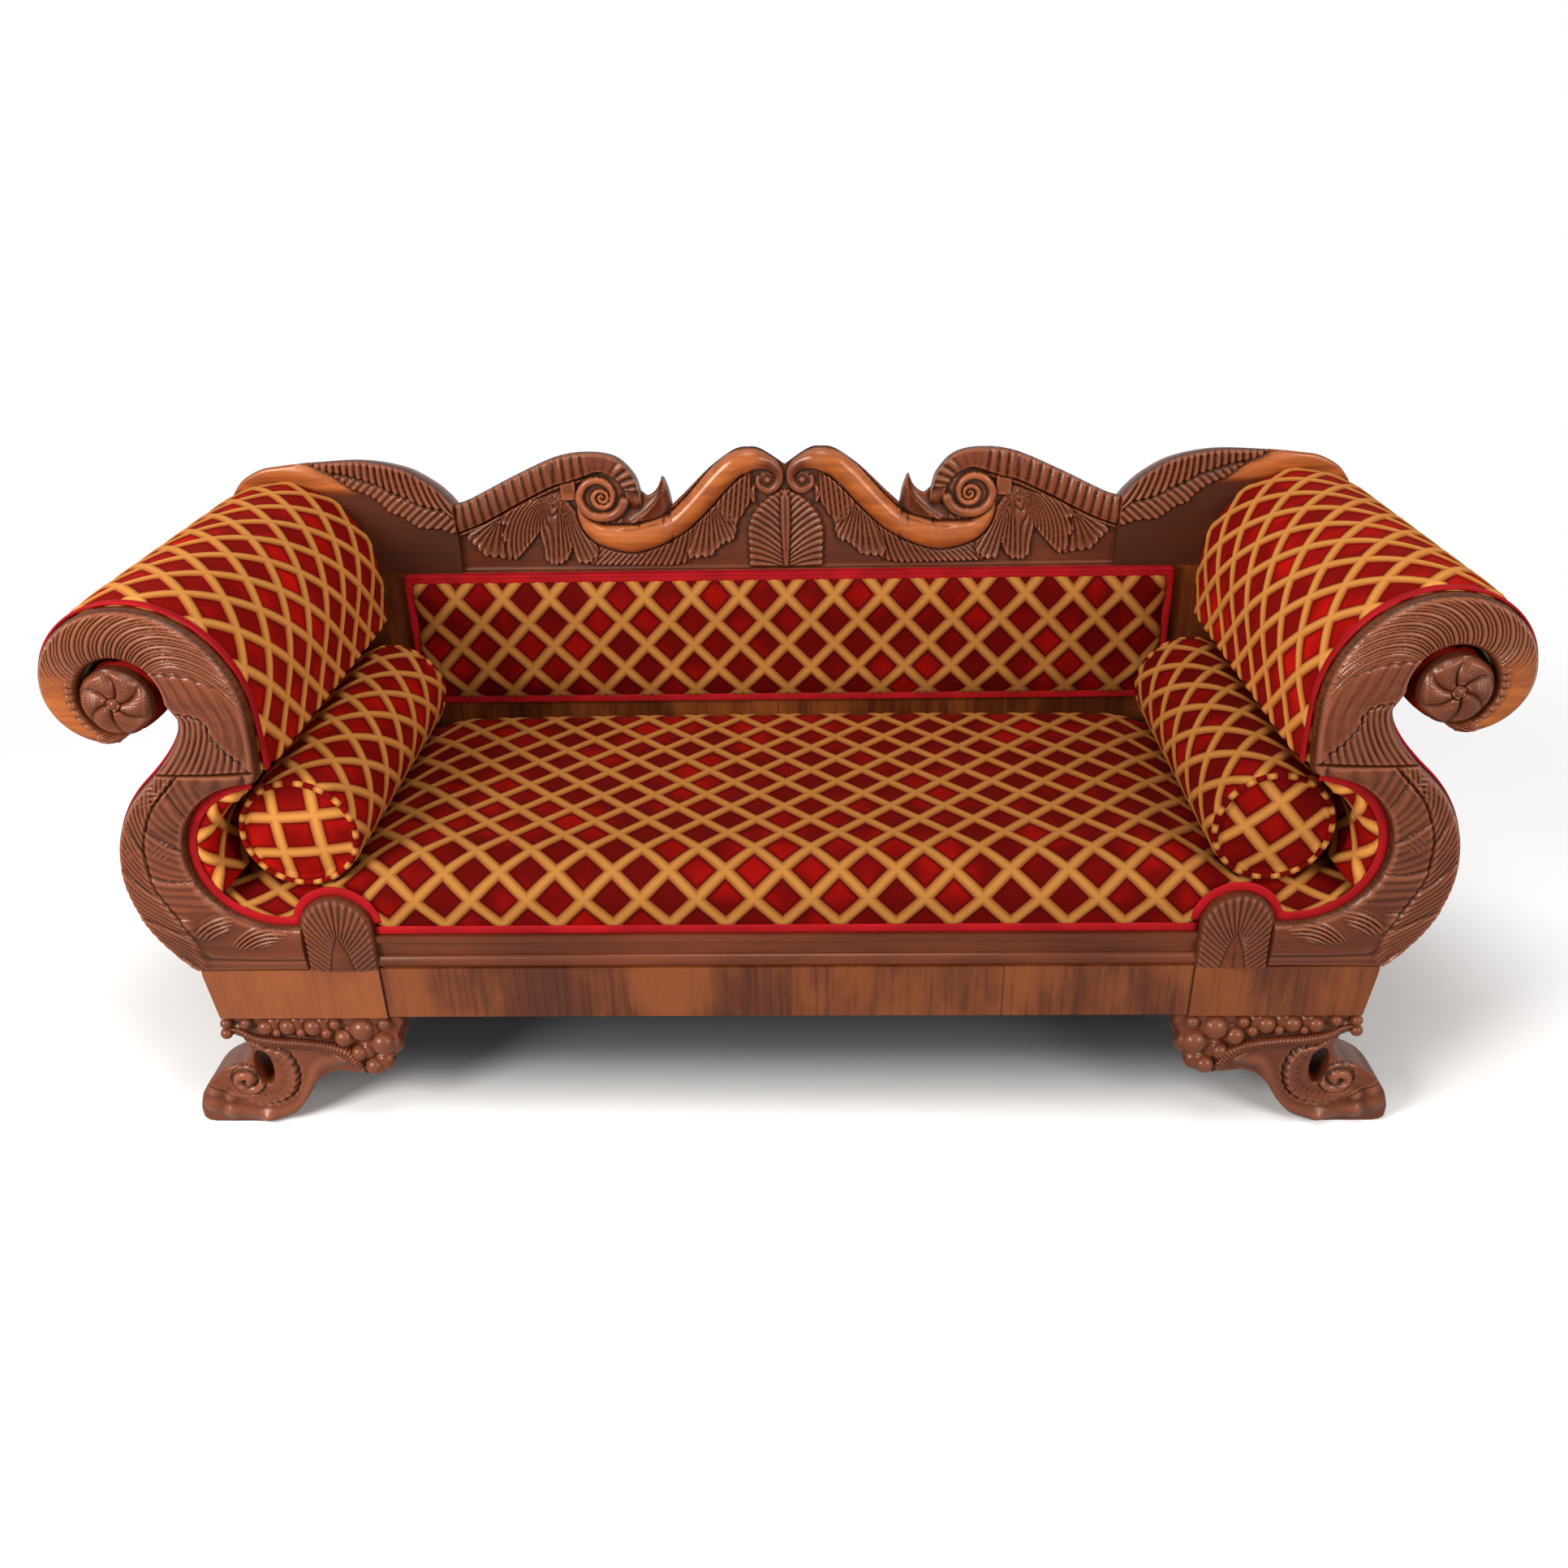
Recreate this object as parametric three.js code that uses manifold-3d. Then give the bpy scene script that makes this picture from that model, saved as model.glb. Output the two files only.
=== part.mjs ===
import * as THREE from 'three';
import { mergeVertices } from 'three/addons/utils/BufferGeometryUtils.js';
import Module from 'manifold-3d';

// A scroll-arm sofa in the carved classical style, all sizes in millimetres.
// X runs along the seat, Y runs from the front to the back and Z runs up.
// The origin lies on the floor under the middle of the sofa.

// Overall sizes and the clearance between pieces that touch
const overallWidth = 2010;
const overallDepth = 670;
const fit = 0.3;
const overrun = 5;

// Base: legs, aprons, end blocks and the moulded rail above them
const baseInset = 120;
const legHeight = 214;
const legThickness = 72;
const apronHeight = 90;
const mouldingHeight = 56;
const mouldingDepth = 36;
const endBlockLength = 272;
const endBlockDepth = 72;
const endBlockSlant = 10;
const railThickness = 38;
const railSetback = 5;
const sideRailThickness = 38;
const crossRailWidth = 50;
const crossRailSpread = 300;
const tenonLength = 30;
const tenonThickness = 16;
const tenonShoulder = 14;
const legTenonWidth = 90;
const glueBlockLeg = 60;
const glueBlockHeight = 70;

// Arched tablets that cover the joint of arm and seat rail
const tabletWidth = 106;
const tabletRise = 127;
const tabletThickness = 14;
const tabletProud = 3;

// Arm scrolls, measured from the outermost point of the big volute
const facingThickness = 16;
const armRise = 579;
const outerReach = 128;
const outerRise = 118;
const shoulderReach = 149;
const shoulderRise = 164;
const underReach = 83;
const underDrop = 77;
const tailLength = 38;
const tailLift = 8;
const eyeInset = 108;
const eyeRise = 67;
const eyeGapRadius = 58;
const rollRadius = 52;
const rollSetback = 15;
const rollRailRadius = 36;
const rosetteRadius = 48;
const rosetteDome = 5;
const neckWidth = 98;
const neckRise = 3;
const neckBend = 37;
const bowlInset = 40;
const bowlOuterRadius = 209;
const bowlOuterRise = 161;
const bowlInnerRadius = 122;
const bowlInnerShift = 13;
const lowerBandHeight = 76;
const cuspLift = 5;
const cuspShift = 7;

// Upholstery on the arms
const armPadThickness = 30;
const armPadProud = 3;
const bowlPadThickness = 30;
const bowlPadClearance = 1;
const coverThickness = 8;
const coverProud = 2;
const postThickness = 40;

// Seat
const seatPadHeight = 104;
const seatCrown = 4;
const seatSlopeWidth = 175;
const seatEndDrop = 36;
const seatEndShift = 6;
const seatFrontSetback = 17;
const seatPadRearGap = 45;
const seatRoundDepth = 86;
const seatRoundHeight = 58;
const strapWidth = 55;
const strapThickness = 3;

// Back
const backThickness = 43;
const backSideGap = 48;
const backPadHeight = 245;
const backPadLift = 9;
const backPadThickness = 32;
const backPadCrown = 20;
const backPadCrownWidth = 55;
const stileWidth = 46;
const panelThickness = 8;

// Crest
const wingLap = 152;
const crestRise = 218;
const groundDepth = 30;
const swanRadius = 22;
const gadroonLength = 44;
const gadroonWidth = 20;
const crestVoluteRadius = 44;
const voluteWire = 9;
const palmetteHeight = 150;

// Loose bolsters
const bolsterRadius = 88;
const bolsterShift = 31;
const bolsterRearGap = 95;
const bolsterFrontSetback = 45;
const bolsterRim = 14;
const bolsterCrown = 6;
const bolsterClearance = 1.1;

// How many straight steps stand for each round stretch
const shortSteps = 6;
const arcSteps = 12;
const roundSides = 24;
const bolsterSides = 20;

// Levels up from the floor
const apronTop = legHeight + apronHeight;
const seatRailTop = apronTop + mouldingHeight;
const seatTop = seatRailTop + seatPadHeight;
const armTop = apronTop + armRise;

// Planes from front to back
const frontFace = -overallDepth / 2;
const rearFace = overallDepth / 2;
const facingFront = frontFace + tabletProud;
const facingBack = facingFront + facingThickness;
const backFront = rearFace - backThickness;
const rearEndOfPads = backFront - fit;

// Centres of the arm's arcs, for the arm on the right
const scrollOuter = overallWidth / 2;
const baseHalf = scrollOuter - baseInset;
const blockInner = baseHalf - endBlockLength;
const crownX = scrollOuter - outerReach;
const neckFaceX = crownX - shoulderReach;
const neckOuterX = neckFaceX + neckWidth;
const shoulderZ = armTop - shoulderRise;
const outerZ = armTop - outerRise;
const underX = scrollOuter - underReach;
const underZ = outerZ - underDrop;
const eyeX = scrollOuter - eyeInset;
const eyeZ = underZ + eyeRise;
const bowlOuterX = scrollOuter - bowlInset - bowlOuterRadius;
const bowlOuterZ = apronTop + bowlOuterRise;
const bowlInnerX = neckFaceX + bowlInnerShift;
const bowlInnerZ = apronTop + lowerBandHeight + bowlInnerRadius;
const tabletX = blockInner + tabletWidth / 2;
const tabletOuterX = blockInner + tabletWidth;
const seatEndHalf = bowlInnerX - seatEndShift;
const seatFlatHalf = seatEndHalf - seatSlopeWidth;
const backHalf = neckFaceX - backSideGap;
const backPadBottom = seatTop + backPadLift;
const backPadTop = backPadBottom + backPadHeight;
const crestHalf = neckFaceX - wingLap;

const wasm = await Module();
wasm.setup();

// Turned and sawn finishes as they look from a step away
const finishes = {
  carved: { color: 0x784128, roughness: 0.45, metalness: 0 },
  veneer: { color: 0x8f4b26, roughness: 0.35, metalness: 0 },
  frameWood: { color: 0xb08a5c, roughness: 0.8, metalness: 0 },
  velvet: { color: 0xa3161c, roughness: 0.9, metalness: 0 },
  jute: { color: 0x9c8560, roughness: 0.95, metalness: 0 },
};

const sofa = new THREE.Group();

function place(name, geometry, finish) {
  const mesh = new THREE.Mesh(geometry, new THREE.MeshStandardMaterial(finishes[finish]));
  mesh.name = name;
  sofa.add(mesh);
}

// The left-hand piece is the right-hand one mirrored, with its faces turned back out
function mirrored(geometry) {
  const copy = geometry.index ? geometry.toNonIndexed() : geometry.clone();
  copy.scale(-1, 1, 1);
  const position = copy.attributes.position;
  for (let corner = 0; corner < position.count; corner += 3) {
    const second = new THREE.Vector3().fromBufferAttribute(position, corner + 1);
    const third = new THREE.Vector3().fromBufferAttribute(position, corner + 2);
    position.setXYZ(corner + 1, third.x, third.y, third.z);
    position.setXYZ(corner + 2, second.x, second.y, second.z);
  }
  const bare = new THREE.BufferGeometry();
  bare.setAttribute('position', position);
  return mergeVertices(bare);
}

function placePair(name, geometry, finish) {
  place(`${name}_right`, geometry, finish);
  place(`${name}_left`, mirrored(geometry), finish);
}

function welded(geometry) {
  const bare = geometry.clone();
  bare.deleteAttribute('normal');
  bare.deleteAttribute('uv');
  return mergeVertices(bare);
}

function solid(geometry) {
  const merged = welded(geometry);
  const vertProperties = new Float32Array(merged.attributes.position.array);
  const triVerts = new Uint32Array(merged.index.array);
  return new wasm.Manifold(new wasm.Mesh({ numProp: 3, vertProperties, triVerts }));
}

function geometryOf(body) {
  const { vertProperties, triVerts } = body.getMesh();
  const geometry = new THREE.BufferGeometry();
  geometry.setAttribute('position', new THREE.BufferAttribute(new Float32Array(vertProperties), 3));
  geometry.setIndex(new THREE.BufferAttribute(new Uint32Array(triVerts), 1));
  return geometry;
}

function joined(...geometries) {
  return geometryOf(geometries.map(solid).reduce((whole, next) => whole.add(next)));
}

function cut(geometry, ...tools) {
  return geometryOf(tools.map(solid).reduce((whole, tool) => whole.subtract(tool), solid(geometry)));
}

function common(first, second) {
  return geometryOf(solid(first).intersect(solid(second)));
}

function point(x, z) {
  return new THREE.Vector2(x, z);
}

// A stretch of an ellipse, with its angles in degrees
function arc(centreX, centreZ, reachX, reachZ, from, to, steps) {
  const points = [];
  for (let step = 0; step <= steps; step += 1) {
    const angle = THREE.MathUtils.degToRad(from + (to - from) * (step / steps));
    points.push(point(centreX + reachX * Math.cos(angle), centreZ + reachZ * Math.sin(angle)));
  }
  return points;
}

function bend(start, middle, end, steps) {
  return new THREE.QuadraticBezierCurve(start, middle, end).getPoints(steps);
}

// A smooth line through points that are shares of a width and a height
function sweep(shares, originX, originZ, width, height, steps) {
  const points = shares.map(([x, z]) => point(originX + x * width, originZ + z * height));
  return new THREE.SplineCurve(points).getPoints(steps);
}

// A closed outline without doubled points
function outline(points) {
  const kept = points.filter((p, i) => p.distanceTo(points[(i + 1) % points.length]) > fit / 10);
  return new THREE.Shape(kept);
}

// A board whose outline is seen from the front, with its edges rounded over if they have a bevel
function board(shape, front, back, bevel = 0, bevelWidth = bevel, bevelSegments = 1) {
  const options = { depth: back - front - 2 * bevel, bevelEnabled: bevel > 0, bevelThickness: bevel };
  Object.assign(options, { bevelSize: bevelWidth, bevelOffset: -bevelWidth, bevelSegments });
  const geometry = new THREE.ExtrudeGeometry(shape, options);
  geometry.rotateX(Math.PI / 2);
  geometry.translate(0, back - bevel, 0);
  return geometry;
}

// A moulding whose section is seen from the right, with Y across and Z up
function moulding(shape, left, right) {
  const geometry = new THREE.ExtrudeGeometry(shape, { depth: right - left, bevelEnabled: false });
  const turn = new THREE.Matrix4();
  turn.makeBasis(new THREE.Vector3(0, 1, 0), new THREE.Vector3(0, 0, 1), new THREE.Vector3(1, 0, 0));
  geometry.applyMatrix4(turn);
  geometry.translate(left, 0, 0);
  return geometry;
}

function block(left, right, front, back, bottom, top) {
  const geometry = new THREE.BoxGeometry(right - left, back - front, top - bottom);
  geometry.translate((left + right) / 2, (front + back) / 2, (bottom + top) / 2);
  return geometry;
}

// A round bar that runs from front to back
function bar(x, z, radius, front, back) {
  const geometry = new THREE.CylinderGeometry(radius, radius, back - front, roundSides);
  geometry.translate(x, (front + back) / 2, z);
  return geometry;
}

// A round ridge along a line in the plane of a board, with its ends closed
function ridge(points, y, radius, steps, sides = 8) {
  const path = new THREE.CatmullRomCurve3(points.map((p) => new THREE.Vector3(p.x, y, p.y)));
  const lastAngle = 360 - 360 / sides;
  const section = new THREE.Shape(arc(0, 0, radius, radius, 0, lastAngle, sides - 1));
  return new THREE.ExtrudeGeometry(section, { steps, bevelEnabled: false, extrudePath: path });
}

// A raised lobe lying on a board, long along its angle from the X axis
function lobe(x, y, z, length, width, proud, angle) {
  const geometry = new THREE.SphereGeometry(1, 8, 5);
  geometry.rotateZ(Math.PI / 2);
  geometry.scale(length / 2, proud, width / 2);
  geometry.rotateY(-THREE.MathUtils.degToRad(angle));
  geometry.translate(x, y, z);
  return geometry;
}

// A spiral in the plane of a board, wound inwards
function spiral(centreX, centreZ, outer, inner, from, to, steps) {
  const points = [];
  for (let step = 0; step <= steps; step += 1) {
    const share = step / steps;
    const radius = outer + (inner - outer) * share;
    const angle = THREE.MathUtils.degToRad(from + (to - from) * share);
    points.push(point(centreX + radius * Math.cos(angle), centreZ + radius * Math.sin(angle)));
  }
  return points;
}

// Arm scroll edges, on the right arm

// The seat side of the neck, over the top of the volute and round to its underside
function voluteEdge(grow) {
  return [
    ...arc(crownX, shoulderZ, shoulderReach + grow, shoulderRise + grow, 180, 90, arcSteps),
    ...arc(crownX, outerZ, outerReach + grow, outerRise + grow, 90, 0, arcSteps),
    ...arc(underX, outerZ, underReach + grow, underDrop + grow, 0, -90, shortSteps),
  ];
}

// The outer side of the neck and down round the bowl of the arm
function outerEdge(grow) {
  const foot = Math.asin(bowlOuterRise / bowlOuterRadius);
  const leave = 48;
  const radius = bowlOuterRadius + grow;
  const bowl = arc(bowlOuterX, bowlOuterZ, radius, radius, leave, -THREE.MathUtils.radToDeg(foot), 2 * arcSteps);
  const neckX = neckOuterX + grow;
  const top = point(neckX, shoulderZ + neckRise);
  const middle = point(neckX, shoulderZ + neckRise - neckBend);
  return [...bend(top, middle, bowl[0], shortSteps), ...bowl];
}

function bowlInnerEdge() {
  return arc(bowlInnerX, bowlInnerZ, bowlInnerRadius, bowlInnerRadius, -90, 90, 2 * arcSteps);
}

// The S-shaped front: lower band, neck and a volute that curls round its eye
function facingOutline() {
  const cusp = point(neckFaceX + cuspShift, bowlInnerZ + bowlInnerRadius + cuspLift);
  const shoulder = point(neckFaceX, shoulderZ);
  const neck = bend(cusp, point(neckFaceX, bowlInnerZ + bowlInnerRadius + neckBend), shoulder, shortSteps);
  const volute = voluteEdge(0);
  const tailEnd = point(underX - tailLength, underZ + tailLift);
  const tail = bend(volute[volute.length - 1], point(underX - tailLength / 2, underZ), tailEnd, shortSteps);
  const eye = arc(eyeX, eyeZ, eyeGapRadius, eyeGapRadius, -101, 188, 2 * arcSteps);
  return outline([
    point(tabletOuterX + fit, apronTop + lowerBandHeight),
    ...bowlInnerEdge(),
    ...neck,
    ...volute,
    ...tail,
    ...eye,
    ...outerEdge(0),
    point(bowlOuterX, apronTop + fit),
    point(tabletOuterX + fit, apronTop + fit),
  ]);
}

// The plain post behind the facing, smaller by the stuffing that wraps over it
function postOutline() {
  const grow = -armPadThickness - fit;
  const skin = -coverThickness - fit;
  const volute = voluteEdge(grow).filter((p) => p.x < scrollOuter + grow || p.y >= outerZ);
  const band = volute.filter((p) => p.y >= outerZ || p.x < crownX);
  const eye = arc(eyeX, eyeZ, eyeGapRadius, eyeGapRadius, 8, 188, arcSteps);
  return outline([
    point(tabletOuterX + fit, apronTop + lowerBandHeight),
    ...bowlInnerEdge(),
    point(neckFaceX - grow, bowlInnerZ + bowlInnerRadius + cuspLift),
    ...band,
    ...eye,
    ...outerEdge(skin),
    point(tabletOuterX + fit, apronTop + fit),
  ]);
}

function armPadOutline() {
  const outer = voluteEdge(armPadProud);
  const inner = voluteEdge(-armPadThickness).filter((p) => p.y >= outerZ || p.x < crownX);
  const eye = arc(eyeX, eyeZ, eyeGapRadius + fit, eyeGapRadius + fit, -70, 4, shortSteps);
  const foot = bowlInnerZ + bowlInnerRadius + cuspLift + fit;
  return outline([
    point(neckFaceX - armPadProud, foot + cuspShift),
    ...outer,
    ...eye,
    ...inner.reverse(),
    point(neckFaceX + armPadThickness, foot + cuspShift),
  ]);
}

// A crescent of stuffing that lines the bowl of the arm beside the bolster
function bowlPadOutline() {
  const outerRadius = bowlInnerRadius - bowlPadClearance;
  const innerRadius = outerRadius - bowlPadThickness;
  const seatEnd = seatTop - seatEndDrop + fit;
  const lowOuter = THREE.MathUtils.radToDeg(Math.asin((seatEnd - bowlInnerZ) / outerRadius));
  const lowInner = THREE.MathUtils.radToDeg(Math.asin((seatEnd - bowlInnerZ) / innerRadius));
  return outline([
    ...arc(bowlInnerX, bowlInnerZ, outerRadius, outerRadius, lowOuter, 88, 2 * arcSteps),
    ...arc(bowlInnerX, bowlInnerZ, innerRadius, innerRadius, 68, lowInner, arcSteps),
  ]);
}

function outerCoverOutline() {
  const inner = outerEdge(-coverThickness).reverse();
  return outline([...outerEdge(coverProud), ...inner]);
}

// Carcase: end blocks, aprons and rails with tenons in mortises

function tenonBox(left, right, front, back, grow) {
  const low = legHeight + tenonShoulder - grow;
  const high = apronTop - tenonShoulder + grow;
  return block(left, right, front, back, low, high);
}

const apronFront = frontFace + railSetback;
const apronBack = apronFront + railThickness;
const apronMiddle = (apronFront + apronBack) / 2;
const blockFront = frontFace + tabletProud / 2;
const blockBack = blockFront + endBlockDepth;
const sideRailX = baseHalf - endBlockSlant - sideRailThickness / 2;
const tenonHalf = tenonThickness / 2;

function frontRailTenon(grow) {
  const left = blockInner - overrun;
  const right = blockInner + tenonLength + grow;
  return tenonBox(left, right, apronMiddle - tenonHalf - grow, apronMiddle + tenonHalf + grow, grow);
}

function sideRailTenon(grow, front, back) {
  return tenonBox(sideRailX - tenonHalf - grow, sideRailX + tenonHalf + grow, front, back, grow);
}

function legTenon(grow, front, back) {
  const middle = blockInner + endBlockLength / 2;
  const left = middle - legTenonWidth / 2 - grow;
  const right = middle + legTenonWidth / 2 + grow;
  const depthMiddle = (front + back) / 2;
  const near = depthMiddle - tenonHalf - grow;
  const far = depthMiddle + tenonHalf + grow;
  return block(left, right, near, far, legHeight - overrun, legHeight + tenonLength + grow);
}

function makeEndBlocks() {
  const shape = outline([
    point(blockInner, legHeight + fit),
    point(baseHalf - endBlockSlant, legHeight + fit),
    point(baseHalf, apronTop - endBlockSlant),
    point(baseHalf, apronTop),
    point(blockInner, apronTop),
  ]);
  const body = cut(
    board(shape, blockFront, blockBack),
    frontRailTenon(fit),
    sideRailTenon(fit, blockBack - tenonLength - fit, blockBack + overrun),
    legTenon(fit, blockFront, blockBack),
  );
  placePair('front_block', body, 'veneer');
}

function crossTenon(x, grow, front, back) {
  return tenonBox(x - tenonHalf - grow, x + tenonHalf + grow, front, back, grow);
}

function makeRails() {
  const face = block(-blockInner + fit, blockInner - fit, apronFront, apronBack, legHeight + fit, apronTop);
  const tenon = frontRailTenon(0);
  const crossMortises = [];
  for (const x of [-crossRailSpread, crossRailSpread]) {
    crossMortises.push(crossTenon(x, fit, apronBack - tenonHalf - fit, apronBack + overrun));
  }
  place('front_rail', cut(joined(face, tenon, mirrored(tenon)), ...crossMortises), 'veneer');

  const slant = endBlockSlant;
  const rearShape = outline([
    point(-baseHalf + slant, legHeight + fit),
    point(baseHalf - slant, legHeight + fit),
    point(baseHalf, apronTop - slant),
    point(baseHalf, apronTop),
    point(-baseHalf, apronTop),
    point(-baseHalf, apronTop - slant),
  ]);
  const rearMortises = [];
  for (const x of [-crossRailSpread, crossRailSpread]) {
    rearMortises.push(crossTenon(x, fit, backFront - overrun, backFront + tenonHalf + fit));
  }
  const sideMortise = sideRailTenon(fit, backFront - overrun, backFront + tenonLength + fit);
  const legMortise = legTenon(fit, backFront, rearFace);
  const rear = cut(
    board(rearShape, backFront, rearFace),
    ...rearMortises,
    sideMortise,
    mirrored(sideMortise),
    legMortise,
    mirrored(legMortise),
  );
  place('rear_rail', rear, 'frameWood');

  const sideLeft = sideRailX - sideRailThickness / 2;
  const sideRight = sideRailX + sideRailThickness / 2;
  const side = block(sideLeft, sideRight, blockBack + fit, backFront - fit, legHeight + fit, apronTop);
  const sideTenons = sideRailTenon(0, blockBack - tenonLength, backFront + tenonLength);
  placePair('side_rail', joined(side, sideTenons), 'veneer');

  const crossLeft = crossRailSpread - crossRailWidth / 2;
  const crossRight = crossRailSpread + crossRailWidth / 2;
  const low = legHeight + fit;
  const cross = block(crossLeft, crossRight, apronBack + fit, backFront - fit, low, apronTop);
  const crossTenons = crossTenon(crossRailSpread, 0, apronBack - tenonHalf, backFront + tenonHalf);
  placePair('cross_rail', joined(cross, crossTenons), 'frameWood');
}

// Three-cornered blocks glued in the inner corners of the frame
function makeGlueBlocks() {
  const top = apronTop - tenonShoulder;
  const wallX = sideRailX - sideRailThickness / 2 - fit;
  const rear = new THREE.Shape([
    point(wallX, backFront - fit),
    point(wallX - glueBlockLeg, backFront - fit),
    point(wallX, backFront - fit - glueBlockLeg),
  ]);
  const front = new THREE.Shape([
    point(wallX, blockBack + fit),
    point(wallX, blockBack + fit + glueBlockLeg),
    point(wallX - glueBlockLeg, blockBack + fit),
  ]);
  for (const [name, shape] of [['rear_corner_block', rear], ['front_corner_block', front]]) {
    const geometry = new THREE.ExtrudeGeometry(shape, { depth: glueBlockHeight, bevelEnabled: false });
    geometry.translate(0, 0, top - glueBlockHeight);
    placePair(name, geometry, 'frameWood');
  }
}

// The moulded seat rail runs between the two arched tablets
function makeSeatRail() {
  const front = apronFront;
  const lip = mouldingHeight * 0.2;
  const bandShare = 0.36;
  const coveShare = 0.25;
  const back = front + mouldingDepth;
  const foot = apronTop + fit;
  const cove = front + mouldingDepth * coveShare;
  const section = [
    point(back, foot),
    point(front + railSetback, foot),
    point(front + railSetback, foot + lip / 2),
    ...arc(cove, foot + lip / 2, cove - front, mouldingHeight * bandShare - lip / 2, 180, 90, shortSteps),
    point(cove, seatRailTop - lip),
    point(cove - lip / 2, seatRailTop - lip),
    point(cove - lip / 2, seatRailTop),
    point(back, seatRailTop),
  ];
  const face = moulding(outline(section.reverse()), -blockInner + fit, blockInner - fit);
  const core = frontFace + tabletThickness + fit;
  const behindTablets = block(-tabletOuterX, tabletOuterX, core, back, foot, seatRailTop);
  place('seat_rail_moulding', joined(face, behindTablets), 'carved');
}

// Arched tablet with a fan of flutes, one over each joint of arm and seat rail
function makeTablets() {
  const half = tabletWidth / 2;
  const spring = apronTop + tabletRise - half;
  const shape = outline([
    point(tabletX - half, apronTop + fit),
    point(tabletX + half, apronTop + fit),
    ...arc(tabletX, spring, half, half, 0, 180, 2 * arcSteps),
  ]);
  const bevel = tabletThickness / 5;
  placePair('arched_tablet', board(shape, frontFace, frontFace + tabletThickness, bevel), 'carved');
}

// Legs: a horn of fruit above, and a C-scroll that ends in a paw

// Shares of the leg's length along X from the end of the base, and of its height
const legOuterShares = [
  [0.03, 0.84], [0.125, 0.775], [0.14, 0.67], [0.065, 0.585], [-0.02, 0.53], [-0.12, 0.42], [-0.195, 0.28],
];
const legToeShares = [[-0.195, 0.28], [-0.228, 0.14], [-0.222, 0.03], [-0.17, 0]];
const legHeelShares = [
  [0.12, 0], [0.22, 0.03], [0.31, 0.08], [0.4, 0.215], [0.47, 0.37], [0.545, 0.455], [0.62, 0.485],
];
const legHornShares = [
  [0.62, 0.485], [0.72, 0.465], [0.83, 0.46], [0.9, 0.5], [0.93, 0.6], [0.985, 0.68], [0.985, 0.82], [1.03, 0.93],
];
const legLength = 282;
const legHollowWidth = 28;
const pawVoluteRadius = 19;
// Shares of the leg's length and height: centre and half height of the hollow, centre of the paw's volute
const legHollowShares = [0.2, 0.53, 0.165];
const pawVoluteShares = [0.08, 0.42];
const ropeRadius = 6;
const fruitRadius = 20;
// Fruit along the mouth of the horn: share of the length, share of the height, share of the radius
const fruitShares = [
  [0.3, 0.91, 0.8], [0.43, 0.92, 1], [0.57, 0.92, 1.05], [0.71, 0.8, 1.05],
  [0.84, 0.86, 1.05], [0.94, 0.72, 1], [0.8, 0.66, 0.9], [0.88, 0.56, 0.9],
];
const ropeShares = [[0.1, 0.87], [0.2, 0.82], [0.35, 0.77], [0.5, 0.72], [0.64, 0.64], [0.74, 0.56], [0.79, 0.49]];

function legPoints(shares, steps) {
  return sweep(shares.map(([x, z]) => [-x, z]), baseHalf, 0, legLength, legHeight, steps);
}

function legOutline() {
  const top = legHeight - fit;
  return outline([
    point(baseHalf - endBlockSlant, top),
    ...legPoints(legOuterShares, 2 * arcSteps),
    ...legPoints(legToeShares, shortSteps),
    ...legPoints(legHeelShares, arcSteps),
    ...legPoints(legHornShares, arcSteps),
    point(baseHalf - legLength, top),
  ].reverse());
}

function makeLegs() {
  const legFront = frontFace + fruitRadius / 2;
  const legBack = legFront + legThickness - fruitRadius / 2;
  const [hollowAlong, hollowUp, hollowHalf] = legHollowShares;
  const hollowX = baseHalf - hollowAlong * legLength;
  const hollow = new THREE.Shape(
    arc(hollowX, hollowUp * legHeight, legHollowWidth / 2, hollowHalf * legHeight, 0, 330, 11),
  );
  const body = cut(board(legOutline(), legFront, legBack), board(hollow, legFront - overrun, legBack + overrun));
  const top = legHeight - fit;
  const trims = [legTenon(0, blockFront, blockBack)];
  for (const [alongShare, upShare, sizeShare] of fruitShares) {
    const radius = fruitRadius * sizeShare;
    const fruit = new THREE.SphereGeometry(radius, 8, 6);
    const x = baseHalf - alongShare * legLength;
    const z = Math.min(upShare * legHeight, top - radius);
    fruit.translate(x, frontFace + radius, z);
    trims.push(fruit);
  }
  trims.push(ridge(legPoints(ropeShares, shortSteps), legFront, ropeRadius, arcSteps, 6));
  const pawX = baseHalf - pawVoluteShares[0] * legLength;
  const pawZ = pawVoluteShares[1] * legHeight;
  const curl = spiral(pawX, pawZ, pawVoluteRadius, pawVoluteRadius / 4, 150, -330, 2 * arcSteps);
  trims.push(ridge(curl, legFront, pawVoluteRadius / 4, 2 * arcSteps, 6));
  placePair('front_leg', joined(body, ...trims), 'carved');

  const rear = joined(board(legOutline(), rearFace - legThickness, rearFace), legTenon(0, backFront, rearFace));
  placePair('rear_leg', rear, 'carved');
}

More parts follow.
